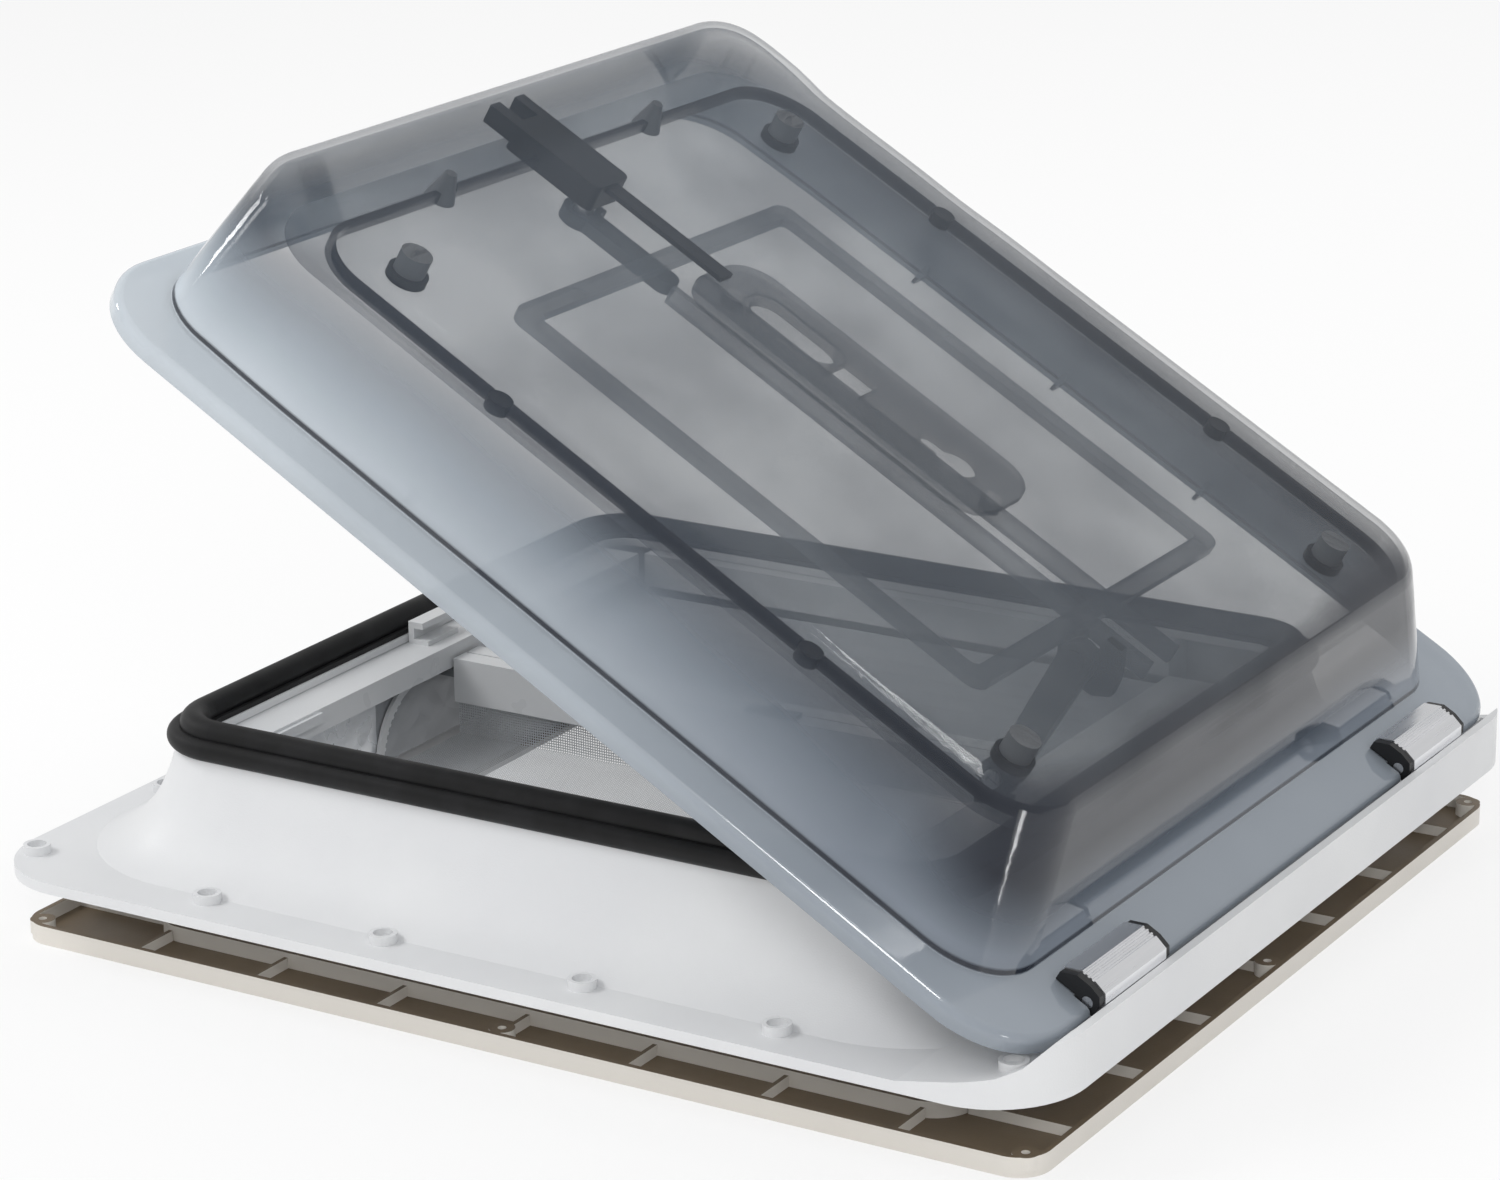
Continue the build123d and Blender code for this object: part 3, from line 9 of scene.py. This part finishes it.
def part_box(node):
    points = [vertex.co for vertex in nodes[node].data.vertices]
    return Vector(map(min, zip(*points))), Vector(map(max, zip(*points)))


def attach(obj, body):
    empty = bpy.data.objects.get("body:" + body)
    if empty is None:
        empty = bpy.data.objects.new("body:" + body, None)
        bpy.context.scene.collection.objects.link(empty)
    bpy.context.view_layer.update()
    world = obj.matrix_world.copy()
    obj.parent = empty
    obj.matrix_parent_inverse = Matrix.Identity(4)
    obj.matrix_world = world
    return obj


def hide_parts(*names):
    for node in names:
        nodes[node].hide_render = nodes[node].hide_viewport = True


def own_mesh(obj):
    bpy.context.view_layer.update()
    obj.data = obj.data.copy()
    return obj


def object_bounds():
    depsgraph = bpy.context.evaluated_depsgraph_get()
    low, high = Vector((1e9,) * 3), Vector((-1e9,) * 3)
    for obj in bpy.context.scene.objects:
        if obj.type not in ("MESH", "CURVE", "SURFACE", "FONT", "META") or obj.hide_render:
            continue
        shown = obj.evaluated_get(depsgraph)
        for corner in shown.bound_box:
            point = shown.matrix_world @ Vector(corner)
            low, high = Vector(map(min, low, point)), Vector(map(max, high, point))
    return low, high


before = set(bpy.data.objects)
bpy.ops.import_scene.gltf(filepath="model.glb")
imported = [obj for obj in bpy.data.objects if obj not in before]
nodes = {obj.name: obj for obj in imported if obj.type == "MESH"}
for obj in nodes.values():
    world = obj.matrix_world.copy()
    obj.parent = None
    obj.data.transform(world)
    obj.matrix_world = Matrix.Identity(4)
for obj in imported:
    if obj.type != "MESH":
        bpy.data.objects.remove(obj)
cad_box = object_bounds()
MM = 0.001
# The lid's hinge axis in the frame, its height above the lid's lower edge, and how far the lid is open.
HINGE_Y, HINGE_Z = 247.6 * MM, 25.5 * MM
HINGE_HEIGHT = 9 * MM
OPEN_ANGLE = math.radians(30)
RIB_LOW = 52.2 * MM
# Most of a noise level lies between these two values.
NOISE_LOW, NOISE_HIGH = 0.3, 0.7
PATCH_LOW, PATCH_HIGH = 0.35, 0.65
PURE_WHITE = (1, 1, 1, 1)


def srgb(red, green, blue):
    """Linear colour of an 8-bit one."""
    def linear(level):
        share = level / 255
        return share / 12.92 if share <= 0.04045 else ((share + 0.055) / 1.055) ** 2.4
    return (linear(red), linear(green), linear(blue), 1.0)


def feed(tree, socket, value):
    """Sets a socket, or links it to a value that is a socket too."""
    if isinstance(value, bpy.types.NodeSocket):
        tree.links.new(value, socket)
    else:
        socket.default_value = value


def add(tree, kind, values=None, **settings):
    """Adds a shader node with its input values."""
    node = tree.nodes.new(kind)
    for key, value in settings.items():
        setattr(node, key, value)
    for name, value in (values or {}).items():
        feed(tree, node.inputs[name], value)
    return node


def new_material(name, **values):
    """Material with one Principled shader."""
    material = bpy.data.materials.new(name)
    material.use_nodes = True
    tree = material.node_tree
    tree.nodes.clear()
    shader = add(tree, "ShaderNodeBsdfPrincipled")
    for key, value in values.items():
        shader.inputs[key.replace("_", " ")].default_value = value
    output = add(tree, "ShaderNodeOutputMaterial")
    tree.links.new(shader.outputs[0], output.inputs["Surface"])
    return material, tree, shader


def place(tree, stretch=(1.0, 1.0, 1.0)):
    """Object coordinates, stretched."""
    coordinates = add(tree, "ShaderNodeTexCoord").outputs["Object"]
    return add(tree, "ShaderNodeMapping", {"Vector": coordinates, "Scale": stretch}).outputs[0]


def cloud(tree, scale, detail=3.0, stretch=(1.0, 1.0, 1.0)):
    """Noise level in the piece's own space."""
    values = {"Vector": place(tree, stretch), "Scale": scale, "Detail": detail}
    return add(tree, "ShaderNodeTexNoise", values).outputs["Fac"]


def mix(tree, share, first, second, blend="MIX"):
    """Mix of two colours; the node's colour sockets are numbers 6 and 7, and 2 going out."""
    node = add(tree, "ShaderNodeMix", data_type="RGBA", blend_type=blend)
    for number, value in ((0, share), (6, first), (7, second)):
        feed(tree, node.inputs[number], value)
    return node.outputs[2]


def span(tree, level, low, high, to_low, to_high):
    """Maps a level from one range to another, clamped."""
    values = {"Value": level, "From Min": low, "From Max": high, "To Min": to_low, "To Max": to_high}
    return add(tree, "ShaderNodeMapRange", values).outputs[0]


def sums(tree, operation, first, second):
    """Arithmetic on two levels."""
    node = add(tree, "ShaderNodeMath", operation=operation)
    for socket, value in zip(node.inputs, (first, second)):
        feed(tree, socket, value)
    return node.outputs[0]


def link(tree, output, shader, name):
    """Links a level or colour to an input of the shader."""
    tree.links.new(output, shader.inputs[name])


def patches(tree, level, light, dark):
    """Two tones in soft patches."""
    return mix(tree, span(tree, level, PATCH_LOW, PATCH_HIGH, 0, 1), light, dark)


def uneven_gloss(tree, shader, level, smooth, rough):
    """Roughness that wanders between two values."""
    link(tree, span(tree, level, NOISE_LOW, NOISE_HIGH, smooth, rough), shader, "Roughness")


def grazing(tree, low, high, least, most):
    """Level that rises where the surface turns away from the eye."""
    facing = add(tree, "ShaderNodeLayerWeight", {"Blend": 0.5}).outputs["Facing"]
    return span(tree, facing, low, high, least, most)


def bump(tree, shader, height, depth):
    """Bump of a depth in metres."""
    node = add(tree, "ShaderNodeBump", {"Height": height, "Strength": 1.0, "Distance": depth})
    link(tree, node.outputs[0], shader, "Normal")


def plastic(name, light, dark, roughness, grain, depth):
    """Moulded plastic: faint mottle, fine grain and uneven gloss."""
    material, tree, shader = new_material(name)
    link(tree, patches(tree, cloud(tree, 9), light, dark), shader, "Base Color")
    uneven_gloss(tree, shader, cloud(tree, 40), roughness - 0.06, roughness + 0.06)
    bump(tree, shader, cloud(tree, grain, 2), depth)
    return material


def frame_plastic():
    """White moulding with a faint two-tone mottle."""
    return plastic("frame_white", srgb(226, 227, 228), srgb(219, 220, 222), 0.42, 1400, 0.00006)


def trim_plastic():
    """Beige moulding; its ribbed upper side carries painted shade in a warm brown."""
    material, tree, shader = new_material("trim_beige")
    normal = add(tree, "ShaderNodeNewGeometry").outputs["Normal"]
    upward = add(tree, "ShaderNodeSeparateXYZ", {"Vector": normal})
    # Painted shade: faces of the ribbed hollow that point upward turn a darker warm brown.
    upward_shade_mask = span(tree, upward.outputs[2], 0.2, 0.8, 0, 1)
    shell = mix(tree, cloud(tree, 9), srgb(229, 225, 218), srgb(221, 216, 208))
    painted_hollow_shade = mix(tree, cloud(tree, 20), srgb(126, 110, 88), srgb(96, 82, 64))
    link(tree, mix(tree, upward_shade_mask, shell, painted_hollow_shade), shader, "Base Color")
    uneven_gloss(tree, shader, cloud(tree, 35), 0.38, 0.5)
    bump(tree, shader, cloud(tree, 1200, 2), 0.00006)
    return material


def rubber(name):
    """Black rubber with a dusty bloom."""
    material, tree, shader = new_material(name, Specular_IOR_Level=0.35)
    dust = span(tree, cloud(tree, 60, 5), 0.45, 0.75, 0, 1)
    link(tree, mix(tree, dust, srgb(13, 13, 14), srgb(25, 25, 27)), shader, "Base Color")
    uneven_gloss(tree, shader, cloud(tree, 25), 0.42, 0.62)
    bump(tree, shader, cloud(tree, 900, 3), 0.00005)
    return material


def metal(name, tint, roughness, stretch):
    """Drawn metal with lines along one way."""
    material, tree, shader = new_material(name, Metallic=1.0)
    lines = cloud(tree, 260, 4, stretch)
    link(tree, mix(tree, lines, tint, srgb(250, 250, 252)), shader, "Base Color")
    uneven_gloss(tree, shader, lines, roughness - 0.08, roughness + 0.1)
    bump(tree, shader, lines, 0.00004)
    return material


def lid_ways(tree):
    """Height above the lid's lower edge and distance from its hinge, in the lid's own frame."""
    ways = add(tree, "ShaderNodeSeparateXYZ", {"Vector": place(tree)})
    back = sums(tree, "SUBTRACT", ways.outputs[1], HINGE_Y)
    rise = sums(tree, "SUBTRACT", ways.outputs[2], HINGE_Z)
    sine, cosine = math.sin(OPEN_ANGLE), math.cos(OPEN_ANGLE)
    back_sine, back_cosine = (sums(tree, "MULTIPLY", back, share) for share in (sine, cosine))
    rise_sine, rise_cosine = (sums(tree, "MULTIPLY", rise, share) for share in (sine, cosine))
    above = sums(tree, "ADD", back_sine, rise_cosine)
    along = sums(tree, "SUBTRACT", rise_sine, back_cosine)
    return sums(tree, "ADD", above, HINGE_HEIGHT), along


def ramp(tree, level, stops):
    """Colour or grey ramp over a level."""
    node = add(tree, "ShaderNodeValToRGB", {"Fac": level})
    band = node.color_ramp
    while len(band.elements) < len(stops):
        band.elements.new(0.5)
    for element, (at, colour) in zip(band.elements, stops):
        element.position = at
        element.color = colour if isinstance(colour, tuple) else (colour, colour, colour, 1.0)
    return node.outputs[0]


def gloss(tree, shader, roughness):
    """Uneven gloss of a moulded sheet."""
    uneven_gloss(tree, shader, cloud(tree, 30), roughness - 0.02, roughness + 0.03)


def acrylic(name, light, dark, clear, edge, roughness=0.06):
    """Tinted sheet: see-through where it faces the eye and denser along its edges."""
    material, tree, shader = new_material(name)
    link(tree, patches(tree, cloud(tree, 5, 4), light, dark), shader, "Base Color")
    link(tree, grazing(tree, 0.3, 0.95, clear, edge), shader, "Alpha")
    gloss(tree, shader, roughness)
    return material


def smoked_dome():
    """Smoked dome: satin walls with a painted sheen that grows lighter to the brim and painted shade
    towards the shoulder and the hinge, a dark painted shade line along the foot, and a clear top.
    """
    material, tree, shader = new_material("smoke_acrylic", Coat_Weight=0.4, Coat_Roughness=0.03)
    wall_rise = 80 * MM
    brim_top = 8 * MM
    height, along = lid_ways(tree)
    uneven = span(tree, cloud(tree, 7, 3), NOISE_LOW, NOISE_HIGH, -0.05, 0.05)
    level = sums(tree, "ADD", span(tree, height, 0, wall_rise, 0, 1), uneven)
    # Painted light on the walls: a painted sheen, lighter towards the brim, and painted shade, darker
    # towards the shoulder.
    wall_sheen_and_shade = ramp(tree, level, [
        (0.0, srgb(192, 200, 207)),
        (0.14, srgb(204, 212, 219)),
        (0.36, srgb(168, 178, 187)),
        (0.56, srgb(124, 133, 143)),
        (0.7, srgb(70, 78, 90)),
        (0.82, srgb(70, 82, 96)),
    ])
    # Painted shade, darker towards the hinge: away from the hinge the shade fades, and the brim takes
    # less of it than the walls.
    far = sums(tree, "ADD", along, sums(tree, "MULTIPLY", uneven, 0.3))
    above_brim = span(tree, height, brim_top, brim_top + 1 * MM, 0.7, 1)
    shaded = sums(tree, "MULTIPLY", span(tree, far, 100 * MM, 420 * MM, 1, 0), above_brim)
    shade = mix(tree, shaded, PURE_WHITE, (0.38, 0.4, 0.44, 1))
    walls_with_painted_shade = mix(tree, 1, wall_sheen_and_shade, shade, "MULTIPLY")
    # Painted shade: the wall at the hinge and a thin line along the dome's foot, in the crease above the
    # brim, are dark.
    hinge_end = span(tree, far, 50 * MM, 85 * MM, 1, 0)
    painted_end_wall_shade = sums(tree, "MULTIPLY", hinge_end, span(tree, height, 15 * MM, 40 * MM, 0, 1))
    foot_start = span(tree, height, brim_top + 0.1 * MM, brim_top + 0.7 * MM, 0, 1)
    foot_end = span(tree, height, brim_top + 1.8 * MM, brim_top + 2.8 * MM, 1, 0)
    dark = sums(tree, "MAXIMUM", painted_end_wall_shade, sums(tree, "MULTIPLY", foot_start, foot_end))
    link(tree, mix(tree, dark, walls_with_painted_shade, srgb(40, 45, 56)), shader, "Base Color")
    body = ramp(tree, level, [(0.0, 0.8), (0.16, 0.86), (0.5, 0.66), (0.68, 0.42), (0.8, 0.22)])
    cover = sums(tree, "ADD", body, grazing(tree, 0.45, 0.98, 0, 0.4))
    # Where the painted shade lies, the sheet is also made denser.
    painted_shade_cover = span(tree, height, 20 * MM, 70 * MM, 0.6, 0.85)
    cover = sums(tree, "MAXIMUM", cover, sums(tree, "MULTIPLY", dark, painted_shade_cover))
    link(tree, sums(tree, "MINIMUM", cover, 0.97), shader, "Alpha")
    gloss(tree, shader, 0.07)
    return material


def ribbed_pane():
    """Inner pane: nearly clear, with a dark raised rib."""
    material, tree, shader = new_material("pane_acrylic")
    height = lid_ways(tree)[0]
    rib = span(tree, height, RIB_LOW, RIB_LOW + 0.5 * MM, 0, 1)
    mottle = span(tree, cloud(tree, 11, 4), 0.4, 0.62, 0, 1)
    sheet = mix(tree, mottle, srgb(168, 177, 185), srgb(112, 122, 133))
    link(tree, mix(tree, rib, sheet, srgb(30, 33, 42)), shader, "Base Color")
    clear = sums(tree, "ADD", grazing(tree, 0.3, 0.95, 0.18, 0.55), span(tree, mottle, 0, 1, 0, 0.1))
    rib_cover = sums(tree, "MULTIPLY", rib, 0.86)
    link(tree, sums(tree, "MAXIMUM", clear, rib_cover), shader, "Alpha")
    gloss(tree, shader, 0.12)
    return material


def fly_mesh():
    """Woven mesh: round threads with open squares between them."""
    pitch, thread = 1.25 * MM, 0.36 * MM
    material, tree, shader = new_material("fly_mesh", Roughness=0.6)
    flat = add(tree, "ShaderNodeUVMap", uv_map="cloth").outputs[0]
    ways = add(tree, "ShaderNodeSeparateXYZ", {"Vector": flat})
    away = [sums(tree, "PINGPONG", ways.outputs[way], pitch / 2) for way in (0, 1)]
    near = sums(tree, "MINIMUM", away[0], away[1])
    link(tree, span(tree, near, thread / 2, thread, 1, 0), shader, "Alpha")
    link(tree, mix(tree, cloud(tree, 30), srgb(206, 209, 212), srgb(180, 183, 187)), shader, "Base Color")
    bump(tree, shader, span(tree, near, 0, thread, 1, 0), thread / 2)
    return material


def pleat_cloth():
    """Silver-coated cloth with a fine weave."""
    material, tree, shader = new_material("pleat_cloth", Metallic=0.25)
    flat = add(tree, "ShaderNodeUVMap", uv_map="cloth").outputs[0]
    values = {"Vector": flat, "Scale": 700, "Distortion": 0.6}
    weave = add(tree, "ShaderNodeTexWave", values).outputs["Fac"]
    link(tree, mix(tree, cloud(tree, 25), srgb(205, 207, 210), srgb(184, 186, 190)), shader, "Base Color")
    uneven_gloss(tree, shader, cloud(tree, 60), 0.4, 0.6)
    bump(tree, shader, weave, 0.00008)
    return material


def foil_cloth(name, light, dark, metallic, roughness):
    """Crinkled insulating foil."""
    material, tree, shader = new_material(name, Metallic=metallic)
    values = {"Vector": place(tree), "Scale": 70}
    crease = add(tree, "ShaderNodeTexVoronoi", values, feature="DISTANCE_TO_EDGE")
    link(tree, mix(tree, cloud(tree, 30, 5), light, dark), shader, "Base Color")
    uneven_gloss(tree, shader, cloud(tree, 50), roughness - 0.08, roughness + 0.1)
    bump(tree, shader, crease.outputs["Distance"], 0.0006)
    return material


BLACK = plastic("black_moulding", srgb(30, 31, 33), srgb(22, 22, 24), 0.42, 1500, 0.00008)
WHITE = plastic("shade_white", srgb(228, 229, 230), srgb(218, 220, 222), 0.32, 1300, 0.00004)
GREY = plastic("grey_moulding", srgb(122, 125, 128), srgb(108, 111, 114), 0.45, 1300, 0.00006)
STEEL = metal("zinc_steel", srgb(170, 172, 176), 0.32, (1, 8, 1))
ALLOY = metal("bright_alloy", srgb(234, 236, 239), 0.3, (0.05, 1, 1))
PLATE = acrylic("guide_acrylic", srgb(128, 135, 142), srgb(98, 105, 112), 0.24, 0.95, 0.2)
RIBS = acrylic("rib_acrylic", srgb(150, 158, 165), srgb(110, 118, 127), 0.42, 0.95, 0.12)

LOOKS = {
    frame_plastic(): "outer_frame",
    rubber("seal_rubber"): "lid_seal spacer_collars",
    trim_plastic(): "ceiling_trim",
    STEEL: "trim_screws bracket_screws clip_screws knob_screw hinge_pin_left hinge_pin_right"
           " latch_spindle",
    WHITE: "shade_rail_free shade_rail_hinge cassette_near cassette_far screen_pull_bar blind_pull_bar"
           " lining_edge latch_keeper",
    ALLOY: "hinge_bracket_left hinge_bracket_right hinge_clip_left hinge_clip_right",
    BLACK: "stay_shoe hinge_end_caps release_strap latch_housing latch_lever edge_plugs stay_bracket"
           " stay_arm stay_knob",
    GREY: "screen_bar_shoes blind_bar_shoes bar_catch pane_spacers",
    PLATE: "guide_plate",
    RIBS: "ring_frame centre_rail_left centre_rail_right",
    smoked_dome(): "outer_dome",
    ribbed_pane(): "inner_pane",
}
SOFTENED = (
    "outer_frame ceiling_trim shade_rail_free shade_rail_hinge cassette_near cassette_far stay_arm"
    " stay_bracket latch_housing hinge_clip_left hinge_clip_right screen_pull_bar blind_pull_bar"
)


def dress_nodes():
    """Gives every carried-over node its material, and some a softened edge."""
    for material, names in LOOKS.items():
        for name in names.split():
            for slot in nodes[name].material_slots:
                slot.material = material
    for name in SOFTENED.split():
        soft = nodes[name].modifiers.new("soft_edge", "BEVEL")
        soft.width = 0.45 * MM
        soft.segments = 2
        soft.limit_method = "ANGLE"
        soft.angle_limit = math.radians(50)
        soft.use_clamp_overlap = True
        soft.harden_normals = True


def sheet_mesh(name, points, low_y, high_y, rows, ruffle):
    """Cloth that follows (x, z) points and runs along Y, with UVs in metres of cloth."""
    mesh = bpy.data.meshes.new(name)
    form = bmesh.new()
    layer = form.loops.layers.uv.new("cloth")
    along = [0.0]
    for before, after in zip(points, points[1:]):
        along.append(along[-1] + math.dist(before, after))
    grid = []
    for row in range(rows + 1):
        y = low_y + (high_y - low_y) * row / rows
        line = []
        for x, z in points:
            shift = noise.noise(Vector((x, y, z)) * 40) * ruffle
            line.append(form.verts.new((x, y, z + shift)))
        grid.append(line)
    for row in range(rows):
        for column in range(len(points) - 1):
            corners = [(row, column), (row, column + 1), (row + 1, column + 1), (row + 1, column)]
            face = form.faces.new([grid[r][c] for r, c in corners])
            face.smooth = True
            for loop, (r, c) in zip(face.loops, corners):
                loop[layer].uv = (along[c], (high_y - low_y) * r / rows)
    form.to_mesh(mesh)
    form.free()
    piece = bpy.data.objects.new(name, mesh)
    bpy.context.scene.collection.objects.link(piece)
    return piece, along[-1]


def run(start, end, steps):
    """Points on a straight run, without its end."""
    return [tuple(a + (b - a) * step / steps for a, b in zip(start, end)) for step in range(steps)]


def pleats(start_x, end_x, count, level, rise):
    """Zigzag points with slightly rounded folds."""
    points_per_fold = 8
    roundness = 0.9
    pitch = (end_x - start_x) / count
    points = []
    for index in range(count * points_per_fold):
        phase = index / points_per_fold
        lift = rise * (1 - abs(2 * (phase % 1) - 1)) ** roundness
        points.append((start_x + pitch * phase, level + lift))
    return points + [(end_x, level)]


def fly_screen():
    """Open mesh from the pull bar down, across and into the near cassette."""
    low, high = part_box("fly_screen")
    clearance = 0.3 * MM
    gathered_length = 35 * MM
    fold_height = 2.6 * MM
    start, level, end = low[0] + clearance, low[2] + 0.5 * MM, high[0]
    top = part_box("screen_pull_bar")[0][2] - clearance
    gather = end - gathered_length
    points = run((start, top), (start, level), 6) + run((start, level), (gather, level), 24)
    points += pleats(gather, end, 5, level, fold_height)
    piece, width = sheet_mesh("fly_screen_cloth", points, low[1], high[1], 40, 0.5 * MM)
    piece.data.materials.append(fly_mesh())
    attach(piece, "frame")
    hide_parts("fly_screen")
    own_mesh(piece)


def blackout_blind():
    """Pleated blind between the far cassette and its bar."""
    low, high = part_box("blackout_blind")
    clearance = 0.3 * MM
    fold_height = 3.6 * MM
    points = pleats(high[0], low[0], 9, low[2] + clearance, fold_height)
    piece, width = sheet_mesh("blackout_blind_cloth", points, low[1], high[1], 30, 0.35 * MM)
    piece.data.materials.append(pleat_cloth())
    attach(piece, "frame")
    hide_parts("blackout_blind")
    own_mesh(piece)


def lining(node, material, crinkle):
    """Thin crinkled lining in the place of a node."""
    low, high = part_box(node)
    middle = (low[1] + high[1]) / 2
    columns, rows = 60, 18
    points = run((low[0], 0), (high[0], 0), columns) + [(high[0], 0)]
    piece, width = sheet_mesh(node + "_cloth", points, low[2], high[2], rows, 0)
    for vertex in piece.data.vertices:
        x, z = vertex.co.x, vertex.co.y
        coarse = noise.noise(Vector((x * 60, z * 90, 0)))
        fine = noise.noise(Vector((x * 170, z * 200, 3)))
        fold = coarse + 0.5 * fine
        vertex.co = (x, middle + fold * crinkle, z)
    piece.data.materials.append(material)
    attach(piece, "frame")
    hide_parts(node)


def looked_at(tree, *kinds):
    """Level that is 1 for rays of these kinds and 0 for all others."""
    rays = add(tree, "ShaderNodeLightPath")
    seen = rays.outputs[kinds[0]]
    for kind in kinds[1:]:
        seen = sums(tree, "MAXIMUM", seen, rays.outputs[kind])
    return seen


def plain_floor():
    """Pale floor that keeps the object's shadow."""
    glow_share = 0.7
    half = 9.0
    mesh = bpy.data.meshes.new("floor")
    level = cad_box[0][2]
    corners = [(-half, -half, level), (half, -half, level), (half, half, level), (-half, half, level)]
    mesh.from_pydata(corners, [], [(0, 1, 2, 3)])
    floor = bpy.data.objects.new("floor", mesh)
    bpy.context.scene.collection.objects.link(floor)
    material, tree, shader = new_material("floor_paper", Roughness=0.9, Base_Color=srgb(244, 244, 244))
    glow = add(tree, "ShaderNodeEmission", {"Color": PURE_WHITE, "Strength": 1.0})
    seen = looked_at(tree, "Is Camera Ray", "Is Transmission Ray", "Is Glossy Ray")
    share = sums(tree, "MULTIPLY", seen, glow_share)
    both = add(tree, "ShaderNodeMixShader", {"Fac": share})
    tree.links.new(shader.outputs[0], both.inputs[1])
    tree.links.new(glow.outputs[0], both.inputs[2])
    output = next(node for node in tree.nodes if node.type == "OUTPUT_MATERIAL")
    tree.links.new(both.outputs[0], output.inputs["Surface"])
    mesh.materials.append(material)


def studio_world():
    """White surround, plain for light and full for what looks at it."""
    light_level = 0.62
    world = bpy.data.worlds.new("studio")
    world.use_nodes = True
    bpy.context.scene.world = world
    tree = world.node_tree
    tree.nodes.clear()
    seen = looked_at(tree, "Is Camera Ray", "Is Transmission Ray")
    strength = span(tree, seen, 0, 1, light_level, 1.0)
    back = add(tree, "ShaderNodeBackground", {"Color": PURE_WHITE, "Strength": strength})
    output = add(tree, "ShaderNodeOutputWorld")
    tree.links.new(back.outputs[0], output.inputs["Surface"])


def lamp(name, place_at, aim, size, power, shows):
    """Soft rectangular lamp; one that shows gives highlights only, the others light without any."""
    light = bpy.data.lights.new(name, "AREA")
    light.shape = "RECTANGLE"
    light.size, light.size_y = size
    light.energy = power
    holder = bpy.data.objects.new(name, light)
    holder.visible_glossy = shows
    holder.visible_diffuse = not shows
    holder.location = place_at
    holder.rotation_euler = (Vector(aim) - Vector(place_at)).to_track_quat("-Z", "Y").to_euler()
    bpy.context.scene.collection.objects.link(holder)


# Name, place, what it aims at, size, power in watts, and whether it only shows as a highlight.
LAMPS = [
    ("key", (1.0, -1.7, 2.1), (0, 0, 0.1), (1.4, 1.0), 29, False),
    ("side", (2.3, 1.6, 1.5), (0, 0, 0.1), (1.0, 0.7), 23, False),
    ("back", (-1.8, 0.6, 2.2), (0, 0, 0.1), (1.6, 1.0), 16, False),
    ("shoulder_gleam", (0.0, 0.9, 2.25), (0.18, 0.15, 0.15), (1.3, 0.2), 13, True),
    ("corner_gleam", (0.29, -2.21, 1.31), (0.2, -0.16, 0.3), (0.3, 0.5), 6, True),
    ("hinge_gleam", (0.78, 2.42, 0.2), (0.2, 0.2, 0.06), (0.3, 0.3), 4, True),
]


def photo_camera():
    """Camera solved from the photograph's straight edges."""
    # Focal length and image centre in the photograph's pixels.
    focal, centre, image = 4499.656, (720.359, 574.144), (1500, 1180)
    stand = Vector((1.615234, 0.970264, 0.709849))
    pitch, heading, roll = (math.radians(angle) for angle in (17.644, 211.685, 0.8327))
    forward = Vector((
        math.cos(pitch) * math.cos(heading),
        math.cos(pitch) * math.sin(heading),
        -math.sin(pitch),
    ))
    right = Vector((math.sin(heading), -math.cos(heading), 0))
    down = forward.cross(right)
    across = math.cos(roll) * right + math.sin(roll) * down
    fall = -math.sin(roll) * right + math.cos(roll) * down
    camera = bpy.data.cameras.new("camera")
    camera.sensor_fit = "HORIZONTAL"
    camera.sensor_width = 36
    camera.lens = focal / image[0] * camera.sensor_width
    camera.shift_x = 0.5 - centre[0] / image[0]
    camera.shift_y = (centre[1] - image[1] / 2) / image[0]
    holder = bpy.data.objects.new("camera", camera)
    turned = Matrix((across, -fall, -forward)).transposed().to_4x4()
    turned.translation = stand
    holder.matrix_world = turned
    bpy.context.scene.collection.objects.link(holder)
    bpy.context.scene.camera = holder


dress_nodes()
fly_screen()
blackout_blind()
SILVER = foil_cloth("silver_foil", srgb(240, 242, 244), srgb(212, 215, 219), 0.5, 0.3)
LINING_GREY = foil_cloth("grey_lining", srgb(178, 181, 185), srgb(150, 153, 157), 0.2, 0.4)
lining("lining_foil", SILVER, 0.45 * MM)
lining("lining_panel", LINING_GREY, 0.25 * MM)
plain_floor()
studio_world()
for row in LAMPS:
    lamp(*row)
photo_camera()
bpy.context.scene.view_settings.view_transform = "Standard"
